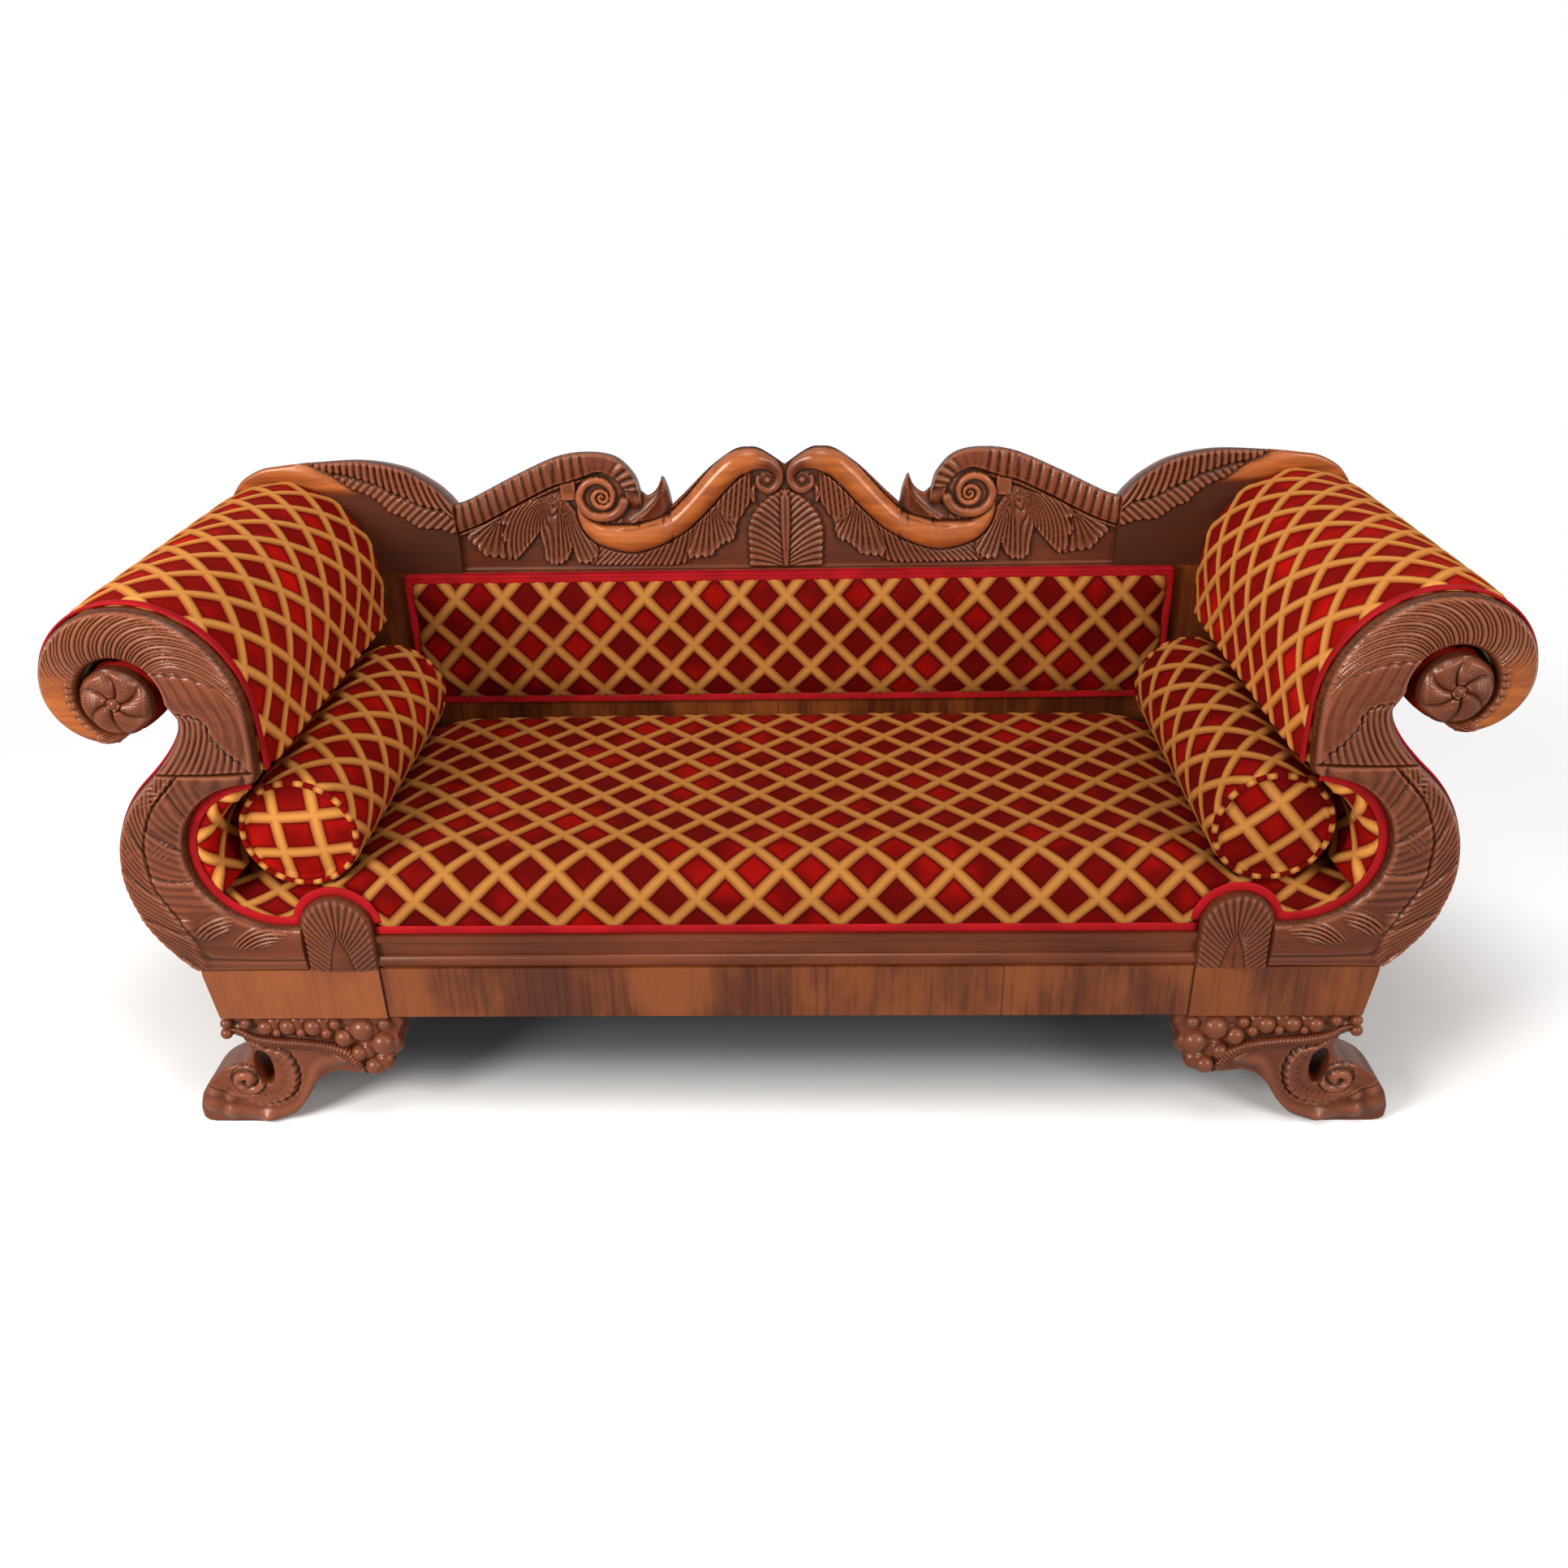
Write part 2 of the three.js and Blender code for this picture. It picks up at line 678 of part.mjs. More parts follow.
// Arms
function makeArms() {
  const postFront = facingBack + fit;
  const postBack = postFront + postThickness;
  placePair('arm_facing', board(facingOutline(), facingFront, facingBack, tabletProud / 2), 'carved');
  placePair('arm_post', board(postOutline(), postFront, postBack), 'frameWood');
  placePair('arm_pad', board(armPadOutline(), facingBack + fit, rearEndOfPads), 'velvet');
  const bowlFront = frontFace + rollSetback;
  placePair('arm_bowl_pad', board(bowlPadOutline(), bowlFront, rearEndOfPads), 'velvet');
  placePair('arm_outer_cover', board(outerCoverOutline(), facingBack + fit, rearEndOfPads), 'velvet');

  const rollFront = frontFace + rollSetback;
  const rollRail = bar(eyeX, eyeZ, rollRailRadius, rollFront, rearEndOfPads);
  const rollBore = bar(eyeX, eyeZ, rollRailRadius + fit, rollFront - overrun, rearEndOfPads + overrun);
  placePair('arm_roll_rail', rollRail, 'frameWood');
  placePair('arm_roll', cut(bar(eyeX, eyeZ, rollRadius, rollFront, rearEndOfPads), rollBore), 'velvet');

  const neckLeft = neckFaceX + armPadThickness + fit;
  const neckRight = neckOuterX - coverThickness - fit;
  const neckBottom = bowlInnerZ + bowlInnerRadius + neckBend;
  const neckRail = block(neckLeft, neckRight, postBack + fit, rearEndOfPads, neckBottom, shoulderZ);
  placePair('arm_neck_rail', neckRail, 'frameWood');

  const lowTop = apronTop + lowerBandHeight - fit;
  const lowRail = block(neckFaceX, sideRailX, postBack + fit, rearEndOfPads, apronTop + fit, lowTop);
  placePair('arm_lower_rail', lowRail, 'frameWood');
}

// Turned and carved rosette that closes the eye of the volute
function makeRosettes() {
  const front = frontFace;
  const back = frontFace + rollSetback - fit;
  const rim = rosetteRadius;
  const profile = [
    point(0, 0),
    point(rim * 0.2, 0),
    point(rim * 0.35, rosetteDome / 2),
    point(rim * 0.85, rosetteDome / 2),
    point(rim, rosetteDome),
    point(rim, back - front),
    point(0, back - front),
  ];
  const geometry = new THREE.LatheGeometry(profile, roundSides);
  geometry.translate(eyeX, front, eyeZ);
  placePair('arm_rosette', geometry, 'carved');
}

// Seat: webbing straps under a fixed pad that rolls over the front rail
function makeSeat() {
  const strapTop = seatRailTop;
  const strapBottom = strapTop - strapThickness;
  const webFront = apronFront + mouldingDepth + fit;
  const webBack = backFront - fit;
  const webHalf = tabletOuterX - fit;
  const straps = [];
  const acrossCount = 7;
  const alongCount = 3;
  for (let index = 0; index < acrossCount; index += 1) {
    const x = -webHalf + strapWidth / 2 + (2 * webHalf - strapWidth) * (index / (acrossCount - 1));
    straps.push(block(x - strapWidth / 2, x + strapWidth / 2, webFront, webBack, strapBottom, strapTop));
  }
  for (let index = 0; index < alongCount; index += 1) {
    const y = webFront + strapWidth / 2 + (webBack - webFront - strapWidth) * (index / (alongCount - 1));
    straps.push(block(-webHalf, webHalf, y - strapWidth / 2, y + strapWidth / 2, strapBottom, strapTop));
  }
  place('seat_webbing', joined(...straps), 'jute');

  const endTop = seatTop - seatEndDrop;
  const wallRadius = bowlInnerRadius - bowlPadClearance;
  const wallAngle = THREE.MathUtils.radToDeg(Math.asin((endTop - bowlInnerZ) / wallRadius));
  const shoulder = bend(point(seatEndHalf, endTop), point((seatEndHalf + seatFlatHalf) / 2, endTop),
    point(seatFlatHalf, seatTop), shortSteps);
  const crown = bend(point(seatFlatHalf, seatTop), point(0, seatTop + 2 * seatCrown),
    point(-seatFlatHalf, seatTop), arcSteps);
  const rightWall = arc(bowlInnerX, bowlInnerZ, wallRadius, wallRadius, -90, wallAngle, shortSteps);
  const flip = (points) => points.map((p) => point(-p.x, p.y)).reverse();
  const bottom = seatRailTop + fit;
  const stepTop = rightWall[0].y;
  const frontShape = outline([
    point(tabletOuterX, bottom),
    point(tabletOuterX, stepTop),
    ...rightWall,
    ...shoulder,
    ...crown,
    ...flip(shoulder),
    ...flip(rightWall),
    point(-tabletOuterX, stepTop),
    point(-tabletOuterX, bottom),
  ]);
  const front = frontFace + seatFrontSetback;
  const back = backFront - seatPadRearGap;
  const high = seatTop + 2 * seatCrown;
  const roundBase = high - seatRoundHeight;
  const sideShape = outline([
    point(back, bottom - overrun),
    point(back, roundBase),
    ...arc(back - seatRoundHeight / 2, roundBase, seatRoundHeight / 2, seatRoundHeight, 0, 90, shortSteps),
    ...arc(front + seatRoundDepth, roundBase, seatRoundDepth, seatRoundHeight, 90, 180, arcSteps),
    point(front, bottom - overrun),
  ]);
  const along = board(frontShape, front - overrun, back + overrun);
  const across = moulding(sideShape, -bowlInnerX - bowlInnerRadius, bowlInnerX + bowlInnerRadius);
  place('seat_pad', common(along, across), 'velvet');
}

// Back: rails and stiles round an upholstered panel
function makeBack() {
  const railTop = backPadBottom - fit;
  const lower = block(-backHalf, backHalf, backFront, rearFace, apronTop + fit, railTop);
  place('back_lower_rail', lower, 'veneer');
  const crestBottom = backPadTop + fit;
  const left = backHalf + fit;
  const stile = block(left, left + stileWidth, backFront, rearFace, apronTop + fit, crestBottom - fit);
  placePair('back_stile', stile, 'veneer');
  const panelHalf = backHalf - fit;
  const panelFront = backFront;
  const panelBottom = backPadBottom;
  const panelTop = backPadTop;
  const panelShape = [panelHalf, panelFront + fit, panelFront + panelThickness];
  place('back_panel', block(-panelShape[0], panelShape[0], panelShape[1], panelShape[2], panelBottom, panelTop),
    'jute');
  const coverFront = rearFace - panelThickness;
  place('back_cover', block(-panelHalf, panelHalf, coverFront, rearFace, panelBottom, panelTop), 'velvet');
  const padShape = outline([
    point(-backHalf, backPadBottom),
    point(backHalf, backPadBottom),
    point(backHalf, backPadTop),
    point(-backHalf, backPadTop),
  ]);
  const padFront = backFront - backPadThickness;
  const padBack = backFront - fit;
  const pillow = board(padShape, padFront, 2 * padBack - padFront, backPadCrown, backPadCrownWidth, 3);
  const nearHalf = block(-backHalf, backHalf, padFront - overrun, padBack, backPadBottom, backPadTop);
  place('back_pad', common(pillow, nearHalf), 'velvet');
}

// Crest outline and bands, as shares of half its length and of its rise

const swanTopShares = [[0, 0.85], [0.065, 0.965], [0.102, 0.995], [0.15, 0.975], [0.225, 0.87], [0.3, 0.66], [0.345, 0.53]];
const thornShares = [[0.345, 0.53], [0.353, 0.66], [0.368, 0.775]];
const thornBackShares = [[0.368, 0.775], [0.385, 0.67], [0.415, 0.615], [0.44, 0.66]];
const gadroonTopShares = [
  [0.44, 0.66], [0.455, 0.79], [0.505, 0.93], [0.58, 0.97], [0.68, 0.935], [0.81, 0.79], [0.95, 0.61], [1, 0.57],
];
const swanPathShares = [
  [0.03, 0.8], [0.055, 0.86], [0.105, 0.89], [0.156, 0.865], [0.21, 0.765], [0.285, 0.565], [0.356, 0.4],
  [0.41, 0.325], [0.475, 0.275], [0.54, 0.3], [0.585, 0.375],
];
const gadroonPathShares = [[0.94, 0.45], [0.82, 0.6], [0.72, 0.75], [0.62, 0.84], [0.52, 0.8]];
const crestVoluteShares = [0.56, 0.59];
const wingTopShares = [[0, 0.57], [0.03, 0.65], [0.09, 0.76], [0.2, 0.88], [0.36, 0.94], [0.54, 0.93], [0.69, 0.9], [0.86, 0.8]];
const wingPathShares = [[0.03, 0.5], [0.12, 0.62], [0.24, 0.74], [0.36, 0.82]];

function crestPoints(shares, steps) {
  return sweep(shares, 0, backPadTop + fit, crestHalf, crestRise, steps);
}

// Ribs set side by side along a line, each turned across it
function gadroons(path, y, count, lean) {
  const ribs = [];
  const curve = new THREE.SplineCurve(path);
  for (let index = 0; index < count; index += 1) {
    const share = (index + 0.5) / count;
    const centre = curve.getPointAt(share);
    const tangent = curve.getTangentAt(share);
    const angle = THREE.MathUtils.radToDeg(Math.atan2(tangent.y, tangent.x)) + lean;
    ribs.push(lobe(centre.x, y, centre.y, gadroonLength, gadroonWidth, gadroonWidth / 2, angle));
  }
  return ribs;
}

function makeCrest() {
  const groundFront = rearFace - groundDepth;
  const bottom = backPadTop + fit;
  const half = [
    ...crestPoints(swanTopShares, arcSteps),
    ...crestPoints(thornShares, 2),
    ...crestPoints(thornBackShares, shortSteps),
    ...crestPoints(gadroonTopShares, 2 * arcSteps),
  ];
  const other = half.map((p) => point(-p.x, p.y)).reverse();
  const shape = outline([
    point(crestHalf, bottom),
    ...half.reverse(),
    ...other.reverse(),
    point(-crestHalf, bottom),
  ].reverse());
  const ground = board(shape, groundFront, rearFace);
  const swan = ridge(crestPoints(swanPathShares, arcSteps), groundFront, swanRadius, 2 * arcSteps);
  const centre = crestPoints([crestVoluteShares, crestVoluteShares], 1)[0];
  const curl = spiral(centre.x, centre.y, crestVoluteRadius - voluteWire, voluteWire / 2, 60, 510, 3 * arcSteps);
  const wire = ridge(curl, groundFront, voluteWire, 2 * arcSteps, 6);
  const ribs = gadroons(crestPoints(gadroonPathShares, arcSteps), groundFront, 12, 62);
  const pieces = [];
  for (const piece of [swan, wire, ...ribs]) {
    pieces.push(piece, mirrored(piece));
  }
  const lobes = 9;
  for (let index = 0; index < lobes; index += 1) {
    const angle = 20 + 140 * (index / (lobes - 1));
    const turn = THREE.MathUtils.degToRad(angle);
    const length = palmetteHeight * (0.4 + 0.4 * Math.sin(turn));
    const x = (length / 2) * Math.cos(turn);
    const z = bottom + palmetteHeight / 8 + (length / 2) * Math.sin(turn);
    pieces.push(lobe(x, groundFront, z, length, gadroonWidth, gadroonWidth / 3, angle));
  }
  place('crest_rail', joined(ground, ...pieces), 'carved');
}

// Rear board of the arm with the wing that sweeps up to the crest, and the post below it
function makeWings() {
  const start = crestHalf + fit;
  const bottom = backPadTop + fit;
  const span = scrollOuter - start;
  const top = sweep(wingTopShares, start, bottom, span, crestRise, 2 * arcSteps);
  const meet = top[top.length - 1];
  const outer = arc(crownX, outerZ, outerReach, outerRise, 90, 0, arcSteps).filter((p) => p.x > meet.x);
  const under = arc(underX, outerZ, underReach, underDrop, 0, -90, shortSteps);
  const eye = arc(eyeX, eyeZ, eyeGapRadius, eyeGapRadius, -100, -150, shortSteps);
  const shape = outline([
    point(start, bottom),
    ...top,
    ...outer,
    ...under,
    ...eye,
    point(neckOuterX, shoulderZ + neckRise),
    point(neckOuterX, bottom),
  ].reverse());
  const ground = board(shape, backFront, rearFace);
  const ribs = gadroons(sweep(wingPathShares, start, bottom, span, crestRise, arcSteps), backFront, 8, 50);
  placePair('crest_wing', joined(ground, ...ribs), 'carved');

  const postLeft = backHalf + 2 * fit + stileWidth;
  const edge = outerEdge(0).filter((p) => p.y < bottom - fit);
  const lower = outline([
    point(postLeft, apronTop + fit),
    point(postLeft, bottom - fit),
    point(neckOuterX, bottom - fit),
    ...edge.filter((p) => p.y > apronTop + fit),
    point(bowlOuterX + bowlOuterRadius / 2, apronTop + fit),
  ].reverse());
  placePair('arm_rear_post', board(lower, backFront, rearFace), 'carved');
}

// Two loose round bolsters that lie in the bowls of the arms
function makeBolsters() {
  const front = frontFace + bolsterFrontSetback;
  const radius = bolsterRadius;
  const length = overallDepth - bolsterFrontSetback - bolsterRearGap;
  const flat = radius - bolsterRim;
  const profile = [
    point(0, -bolsterCrown / 2),
    point(flat * 0.6, -bolsterCrown / 3),
    ...arc(flat, bolsterRim, bolsterRim, bolsterRim, -90, 0, 2),
    point(radius, length / 2),
    ...arc(flat, length - bolsterRim, bolsterRim, bolsterRim, 0, 90, 2),
    point(flat * 0.6, length + bolsterCrown / 3),
    point(0, length + bolsterCrown / 2),
  ];
  const geometry = new THREE.LatheGeometry(profile, bolsterSides);
  const centreZ = seatTop - seatEndDrop + radius + bolsterClearance;
  geometry.translate(bowlInnerX - bolsterShift, front, centreZ);
  placePair('bolster', geometry, 'velvet');
}

makeEndBlocks();
makeRails();
makeGlueBlocks();
makeSeatRail();
makeTablets();
makeLegs();
makeArms();
makeRosettes();
makeSeat();
makeBack();
makeCrest();
makeWings();
makeBolsters();

export default sofa;
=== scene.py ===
import math

import bmesh
import bpy
import numpy as np
from mathutils import Matrix, Vector


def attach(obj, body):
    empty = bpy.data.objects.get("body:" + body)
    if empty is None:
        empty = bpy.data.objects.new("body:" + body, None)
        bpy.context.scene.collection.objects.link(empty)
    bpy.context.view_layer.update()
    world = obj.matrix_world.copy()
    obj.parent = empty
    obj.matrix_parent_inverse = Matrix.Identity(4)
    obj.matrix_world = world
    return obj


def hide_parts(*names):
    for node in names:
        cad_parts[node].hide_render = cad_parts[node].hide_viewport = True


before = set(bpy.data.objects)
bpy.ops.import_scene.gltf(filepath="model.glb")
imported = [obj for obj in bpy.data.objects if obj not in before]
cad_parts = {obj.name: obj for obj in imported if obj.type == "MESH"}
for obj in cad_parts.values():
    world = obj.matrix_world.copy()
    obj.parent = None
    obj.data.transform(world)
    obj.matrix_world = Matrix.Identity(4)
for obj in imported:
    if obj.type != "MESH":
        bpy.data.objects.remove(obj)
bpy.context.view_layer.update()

# Camera, floor and light.
# A plain studio: pale floor and backdrop in one sweep, soft lamps high at both sides,
# and the camera at the height, distance and pitch from which the photograph was taken.
PHOTO_WIDTH = 1932
FOCAL_PIXELS = 1650
SENSOR_WIDTH = 36.0
CAMERA_PLACE = (0.057, -1.985, 1.481)
CAMERA_PITCH, CAMERA_YAW, CAMERA_ROLL = (math.radians(angle) for angle in (27.6, 1.75, 1.25))


def new_object(name, data):
    obj = bpy.data.objects.new(name, data)
    bpy.context.collection.objects.link(obj)
    return obj


camera_data = bpy.data.cameras.new("camera")
camera_data.sensor_width = SENSOR_WIDTH
camera_data.lens = SENSOR_WIDTH * FOCAL_PIXELS / PHOTO_WIDTH
camera = new_object("camera", camera_data)
camera.location = CAMERA_PLACE
camera_turn = (Matrix.Rotation(CAMERA_YAW, 3, "Z") @ Matrix.Rotation(math.pi / 2 - CAMERA_PITCH, 3, "X")
               @ Matrix.Rotation(-CAMERA_ROLL, 3, "Z"))
camera.rotation_euler = camera_turn.to_euler()
scene = bpy.context.scene
scene.camera = camera
scene.view_settings.view_transform = "Standard"


class Signal:
    """What comes out of a shader node. A sum on it adds its Math nodes."""

    def __init__(self, tree, socket=None):
        self.tree = tree
        self.socket = socket

    def node(self, kind, settings=(), inputs=(), output=0):
        """Any other node: its settings first, then the values or links of its sockets."""
        made = self.tree.nodes.new("ShaderNode" + kind)
        for name, value in dict(settings).items():
            setattr(made, name, value)
        for name, value in dict(inputs).items():
            if isinstance(value, Signal):
                self.tree.links.new(value.socket, made.inputs[name])
            else:
                made.inputs[name].default_value = value
        return Signal(self.tree, made.outputs[output])

    def other(self, output):
        """Another output of the same node."""
        return Signal(self.tree, self.socket.node.outputs[output])

    def maths(self, operation, *values):
        return self.node("Math", {"operation": operation}, enumerate(values))

    def __add__(self, value):
        return self.maths("ADD", self, value)

    def __sub__(self, value):
        return self.maths("SUBTRACT", self, value)

    def __rsub__(self, value):
        return self.maths("SUBTRACT", value, self)

    def __mul__(self, value):
        return self.maths("MULTIPLY", self, value)

    def __abs__(self):
        return self.maths("ABSOLUTE", self)

    __radd__ = __add__
    __rmul__ = __mul__

    def rise(self, low, high):
        """0 below low, 1 above high and smooth between them."""
        ends = {"Value": self, "From Min": low, "From Max": high}
        return self.node("MapRange", {"interpolation_type": "SMOOTHSTEP"}, ends)

    def tint(self, low, high):
        """A colour between two, by this signal."""
        return self.node("Mix", {"data_type": "RGBA"}, {0: self, 6: low, 7: high}, 2)

    def place(self):
        """The object's own coordinates."""
        return self.node("TexCoord", output="Object")

    def noise(self, scale, stretch=(1, 1, 1), detail=3, roughness=0.55):
        """Noise on the object's own coordinates, its grains stretched along the axes."""
        place = self.node("Mapping", (), {"Vector": self.place(), "Scale": stretch})
        inputs = {"Vector": place, "Scale": scale, "Detail": detail, "Roughness": roughness}
        return self.node("TexNoise", (), inputs)

    def mark(self, name):
        """A number kept on each point of the piece."""
        return self.node("Attribute", {"attribute_name": name}, (), "Fac")

    def bump(self, strength, distance):
        """The normal of a surface that this signal raises, distance in metres."""
        return self.node("Bump", (), {"Height": self, "Strength": strength, "Distance": distance})


def material(name, paint, **constants):
    """A finish: constants go on the shader's own sockets, and paint gives what varies."""
    made = bpy.data.materials.new(name)
    made.use_nodes = True
    tree = made.node_tree
    shader = tree.nodes["Principled BSDF"]
    for socket, value in constants.items():
        shader.inputs[socket.replace("_", " ")].default_value = value
    for socket, signal in paint(Signal(tree)).items():
        tree.links.new(signal.socket, shader.inputs[socket])
    return made


# Name, place, aim, width in metres, power and colour of each lamp
LAMPS = (
    ("key", (-2.1, -2.2, 1.9), (0, 0, 0.5), 1.2, 105, (1.0, 0.98, 0.95)),
    ("fill", (2.3, -2.4, 1.9), (0, 0, 0.5), 1.5, 62, (1.0, 0.98, 0.96)),
    ("top", (0, -0.8, 3.2), (0, 0, 0.4), 1.3, 32, (1.0, 1.0, 1.0)),
)
for name, place, aim, size, watts, colour in LAMPS:
    data = bpy.data.lights.new(name, "AREA")
    data.shape = "DISK"
    data.size, data.energy, data.color = size, watts, colour
    lamp = new_object(name, data)
    lamp.location = place
    lamp.rotation_euler = (Vector(aim) - Vector(place)).to_track_quat("-Z", "Y").to_euler()

# The camera and the gloss see a white room, while the light on the sofa stays plain
BACKDROP_WHITE = (1.0, 1.0, 1.0, 1)
AIR_LIGHT = 0.24
world = bpy.data.worlds.new("studio")
scene.world = world
world.use_nodes = True
rays = Signal(world.node_tree).node("LightPath", output="Is Camera Ray")
seen = rays.maths("MAXIMUM", rays, rays.other("Is Glossy Ray"))
background = world.node_tree.nodes["Background"]
background.inputs["Color"].default_value = BACKDROP_WHITE
world.node_tree.links.new((seen * (1 - AIR_LIGHT) + AIR_LIGHT).socket, background.inputs["Strength"])

FLOOR_WHITE = (0.98, 0.98, 0.98, 1)
FLOOR_SHADE = (0.165, 0.175, 0.19, 1)
FLOOR_BOUNCE = (0.5, 0.5, 0.5, 1)
FLOOR_GLOW = (0.35, 0.35, 0.35, 1)
NO_GLOW = (0, 0, 0, 1)
# In metres from the middle: where the dark paint ends along each axis, where the glow comes in
# (along the weighted axes), where the floor fades out, and half its width
SHADE_END_X, SHADE_END_Y = (0.75, 1.0), (0.12, 0.33)
GLOW_START, GLOW_WEIGHTS = (0.85, 1.5), (0.87, 2.1, 1)
FLOOR_FADE, FLOOR_HALF = (1.5, 2.9), 3


def floor_paint(start):
    """A pale floor. It is painted dark under the sofa and glows for the camera beside it, both set
    to the photograph, so the shadow under the sofa isn't only cast by the lamps."""
    place = start.place()
    split = start.node("SeparateXYZ", (), {0: place}, "X")
    rays = start.node("LightPath", output="Is Camera Ray")
    weighted = start.node("VectorMath", {"operation": "MULTIPLY"}, {0: place, 1: GLOW_WEIGHTS})
    away, beside = (start.node("VectorMath", {"operation": "LENGTH"}, {0: spot}, "Value")
                    for spot in (place, weighted))
    clear = start.maths("MAXIMUM", abs(split).rise(*SHADE_END_X), abs(split.other("Y")).rise(*SHADE_END_Y))
    return {"Base Color": rays.tint(FLOOR_BOUNCE, clear.tint(FLOOR_SHADE, FLOOR_WHITE)),
            "Emission Color": (rays * beside.rise(*GLOW_START)).tint(NO_GLOW, FLOOR_GLOW),
            "Alpha": 1 - away.rise(*FLOOR_FADE)}


floor_mesh = bpy.data.meshes.new("floor")
sheet = bmesh.new()
bmesh.ops.create_grid(sheet, x_segments=1, y_segments=1, size=FLOOR_HALF)
sheet.to_mesh(floor_mesh)
sheet.free()
floor_mesh.materials.append(material("floor", floor_paint, Roughness=0.9, Specular_IOR_Level=0.0,
                                     Emission_Strength=1.0))
new_object("floor", floor_mesh)


# Base: aprons, end blocks, rails and the moulded seat rail.
# The front and the ends are oak and pine faced with flame-figured mahogany veneer laid upright,
# tenoned and glued at the corners. Rails that don't show are left as plain oak.
MM = 0.001
SIDES = ((-1, "_left"), (1, "_right"))
VENEER_DARK = (0.050, 0.010, 0.003, 1)
VENEER_RED = (0.100, 0.021, 0.005, 1)
VENEER_GOLD = (0.22, 0.056, 0.012, 1)
VENEER_PALE = (0.36, 0.100, 0.027, 1)
SEAM_DARK = (0.03, 0.01, 0.006, 1)
VENEER_SEAMS = (-613, -335, -20, 330, 613)
SEAM_HALF = (0.0004, 0.0016)
# The left end looks paler in the photograph: from which x outwards, up to which y, and how much
PALE_FROM, PALE_TO, PALE_SHARE = (0.612, 0.614), (0.15, 0.2), 0.4
OAK_LIGHT = (0.40, 0.25, 0.13, 1)
OAK_DARK = (0.20, 0.11, 0.05, 1)


def veneer_paint(start):
    flame = start.noise(5.0, (1.6, 1, 0.55), 4, 0.6).rise(0.36, 0.68)
    streak = start.noise(60, (2.2, 1, 0.07), 3, 0.6).rise(0.3, 0.75)
    dark = (streak * 0.5 + (1 - flame) * 0.35).rise(0.25, 0.95)
    colour = dark.tint(flame.tint(VENEER_RED, VENEER_GOLD), VENEER_DARK)
    across = start.node("SeparateXYZ", (), {0: start.place()}, "X")
    pale_end = (across * -1).rise(*PALE_FROM) * (1 - across.other("Y").rise(*PALE_TO))
    colour = (pale_end * PALE_SHARE).tint(colour, VENEER_PALE)
    for x in VENEER_SEAMS:
        seam = 1 - abs(across - x * MM).rise(*SEAM_HALF)
        colour = (seam * 0.8).tint(colour, SEAM_DARK)
    return {"Base Color": colour, "Roughness": streak * 0.12 + 0.28, "Normal": streak.bump(0.25, 0.0004)}


def oak_paint(start):
    grain = start.noise(70, (0.05, 1, 1), 4, 0.6).rise(0.3, 0.75)
    broad = start.noise(4, (0.4, 1, 1)).rise(0.3, 0.7)
    return {"Base Color": (grain * 0.6 + broad * 0.4).tint(OAK_LIGHT, OAK_DARK),
            "Roughness": grain * 0.15 + 0.65, "Normal": grain.bump(0.4, 0.0006)}


def give(finish, slot, *names):
    """A CAD node whose shape is right keeps it and gets its finish."""
    for name in names:
        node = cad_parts[name]
        node.data.materials.clear()
        node.data.materials.append(finish)


def sides(*names):
    return [name + end for name in names for _, end in SIDES]


veneer = material("flame_veneer", veneer_paint, Coat_Weight=0.15, Coat_Roughness=0.16,
                  Specular_IOR_Level=0.25)
give(veneer, "mahogany_veneer", "front_rail", "back_lower_rail",
     *sides("front_block", "side_rail", "back_stile"))
give(material("plain_oak", oak_paint), "secondary_wood", "rear_rail",
     *sides("cross_rail", "front_corner_block", "rear_corner_block"),
     *sides("arm_post", "arm_neck_rail", "arm_lower_rail", "arm_roll_rail"))


# Solid mahogany.
# Legs, arm fronts, crest and seat rail are carved from the solid, stained a red brown and waxed.
# The hollows are darkened, as dark wax and as painted shade, and the high places are made lighter, as wear
# and as painted highlight.
WOOD_DARK = (0.055, 0.0115, 0.0045, 1)
WOOD_LIGHT = (0.155, 0.034, 0.012, 1)
WOOD_DARK_WAX_AND_SHADE = (0.016, 0.004, 0.002, 1)
WOOD_RUBBED_AND_HIGHLIT = (0.30, 0.099, 0.050, 1)
WOOD_POLISHED_HIGHLIT = (0.45, 0.125, 0.024, 1)
WOOD_POLISHED_HIGHLIT_DARK = (0.22, 0.050, 0.012, 1)
WARM_GLOSS = (1.0, 0.78, 0.62, 1)


def mahogany_paint(start, carved=True):
    grain = start.noise(75, (0.06, 1, 1), 4, 0.62).rise(0.3, 0.75)
    broad = start.noise(6, (0.6, 1, 1), 3).rise(0.3, 0.7)
    colour = (grain * 0.45 + broad * 0.55).tint(WOOD_LIGHT, WOOD_DARK)
    gloss = grain * 0.1 + 0.27
    if carved:
        polish_and_painted_light, tone_and_highlight, dark_wax_and_shade = (start.mark(mark) for mark in ("polish_and_painted_light", "tone_and_highlight", "dark_wax_and_shade"))
        # Polished colour and the lighter tone of high places are partly painted highlight; the darkening of
        # hollows is dark wax and painted shade.
        colour = polish_and_painted_light.tint(colour, grain.tint(WOOD_POLISHED_HIGHLIT, WOOD_POLISHED_HIGHLIT_DARK))
        colour = (tone_and_highlight * 0.6).tint(colour, WOOD_RUBBED_AND_HIGHLIT)
        colour = (dark_wax_and_shade * 0.86).tint(colour, WOOD_DARK_WAX_AND_SHADE)
        gloss = gloss + dark_wax_and_shade * 0.25 - polish_and_painted_light * 0.08
    return {"Base Color": colour, "Roughness": gloss, "Normal": grain.bump(0.18, 0.0004)}


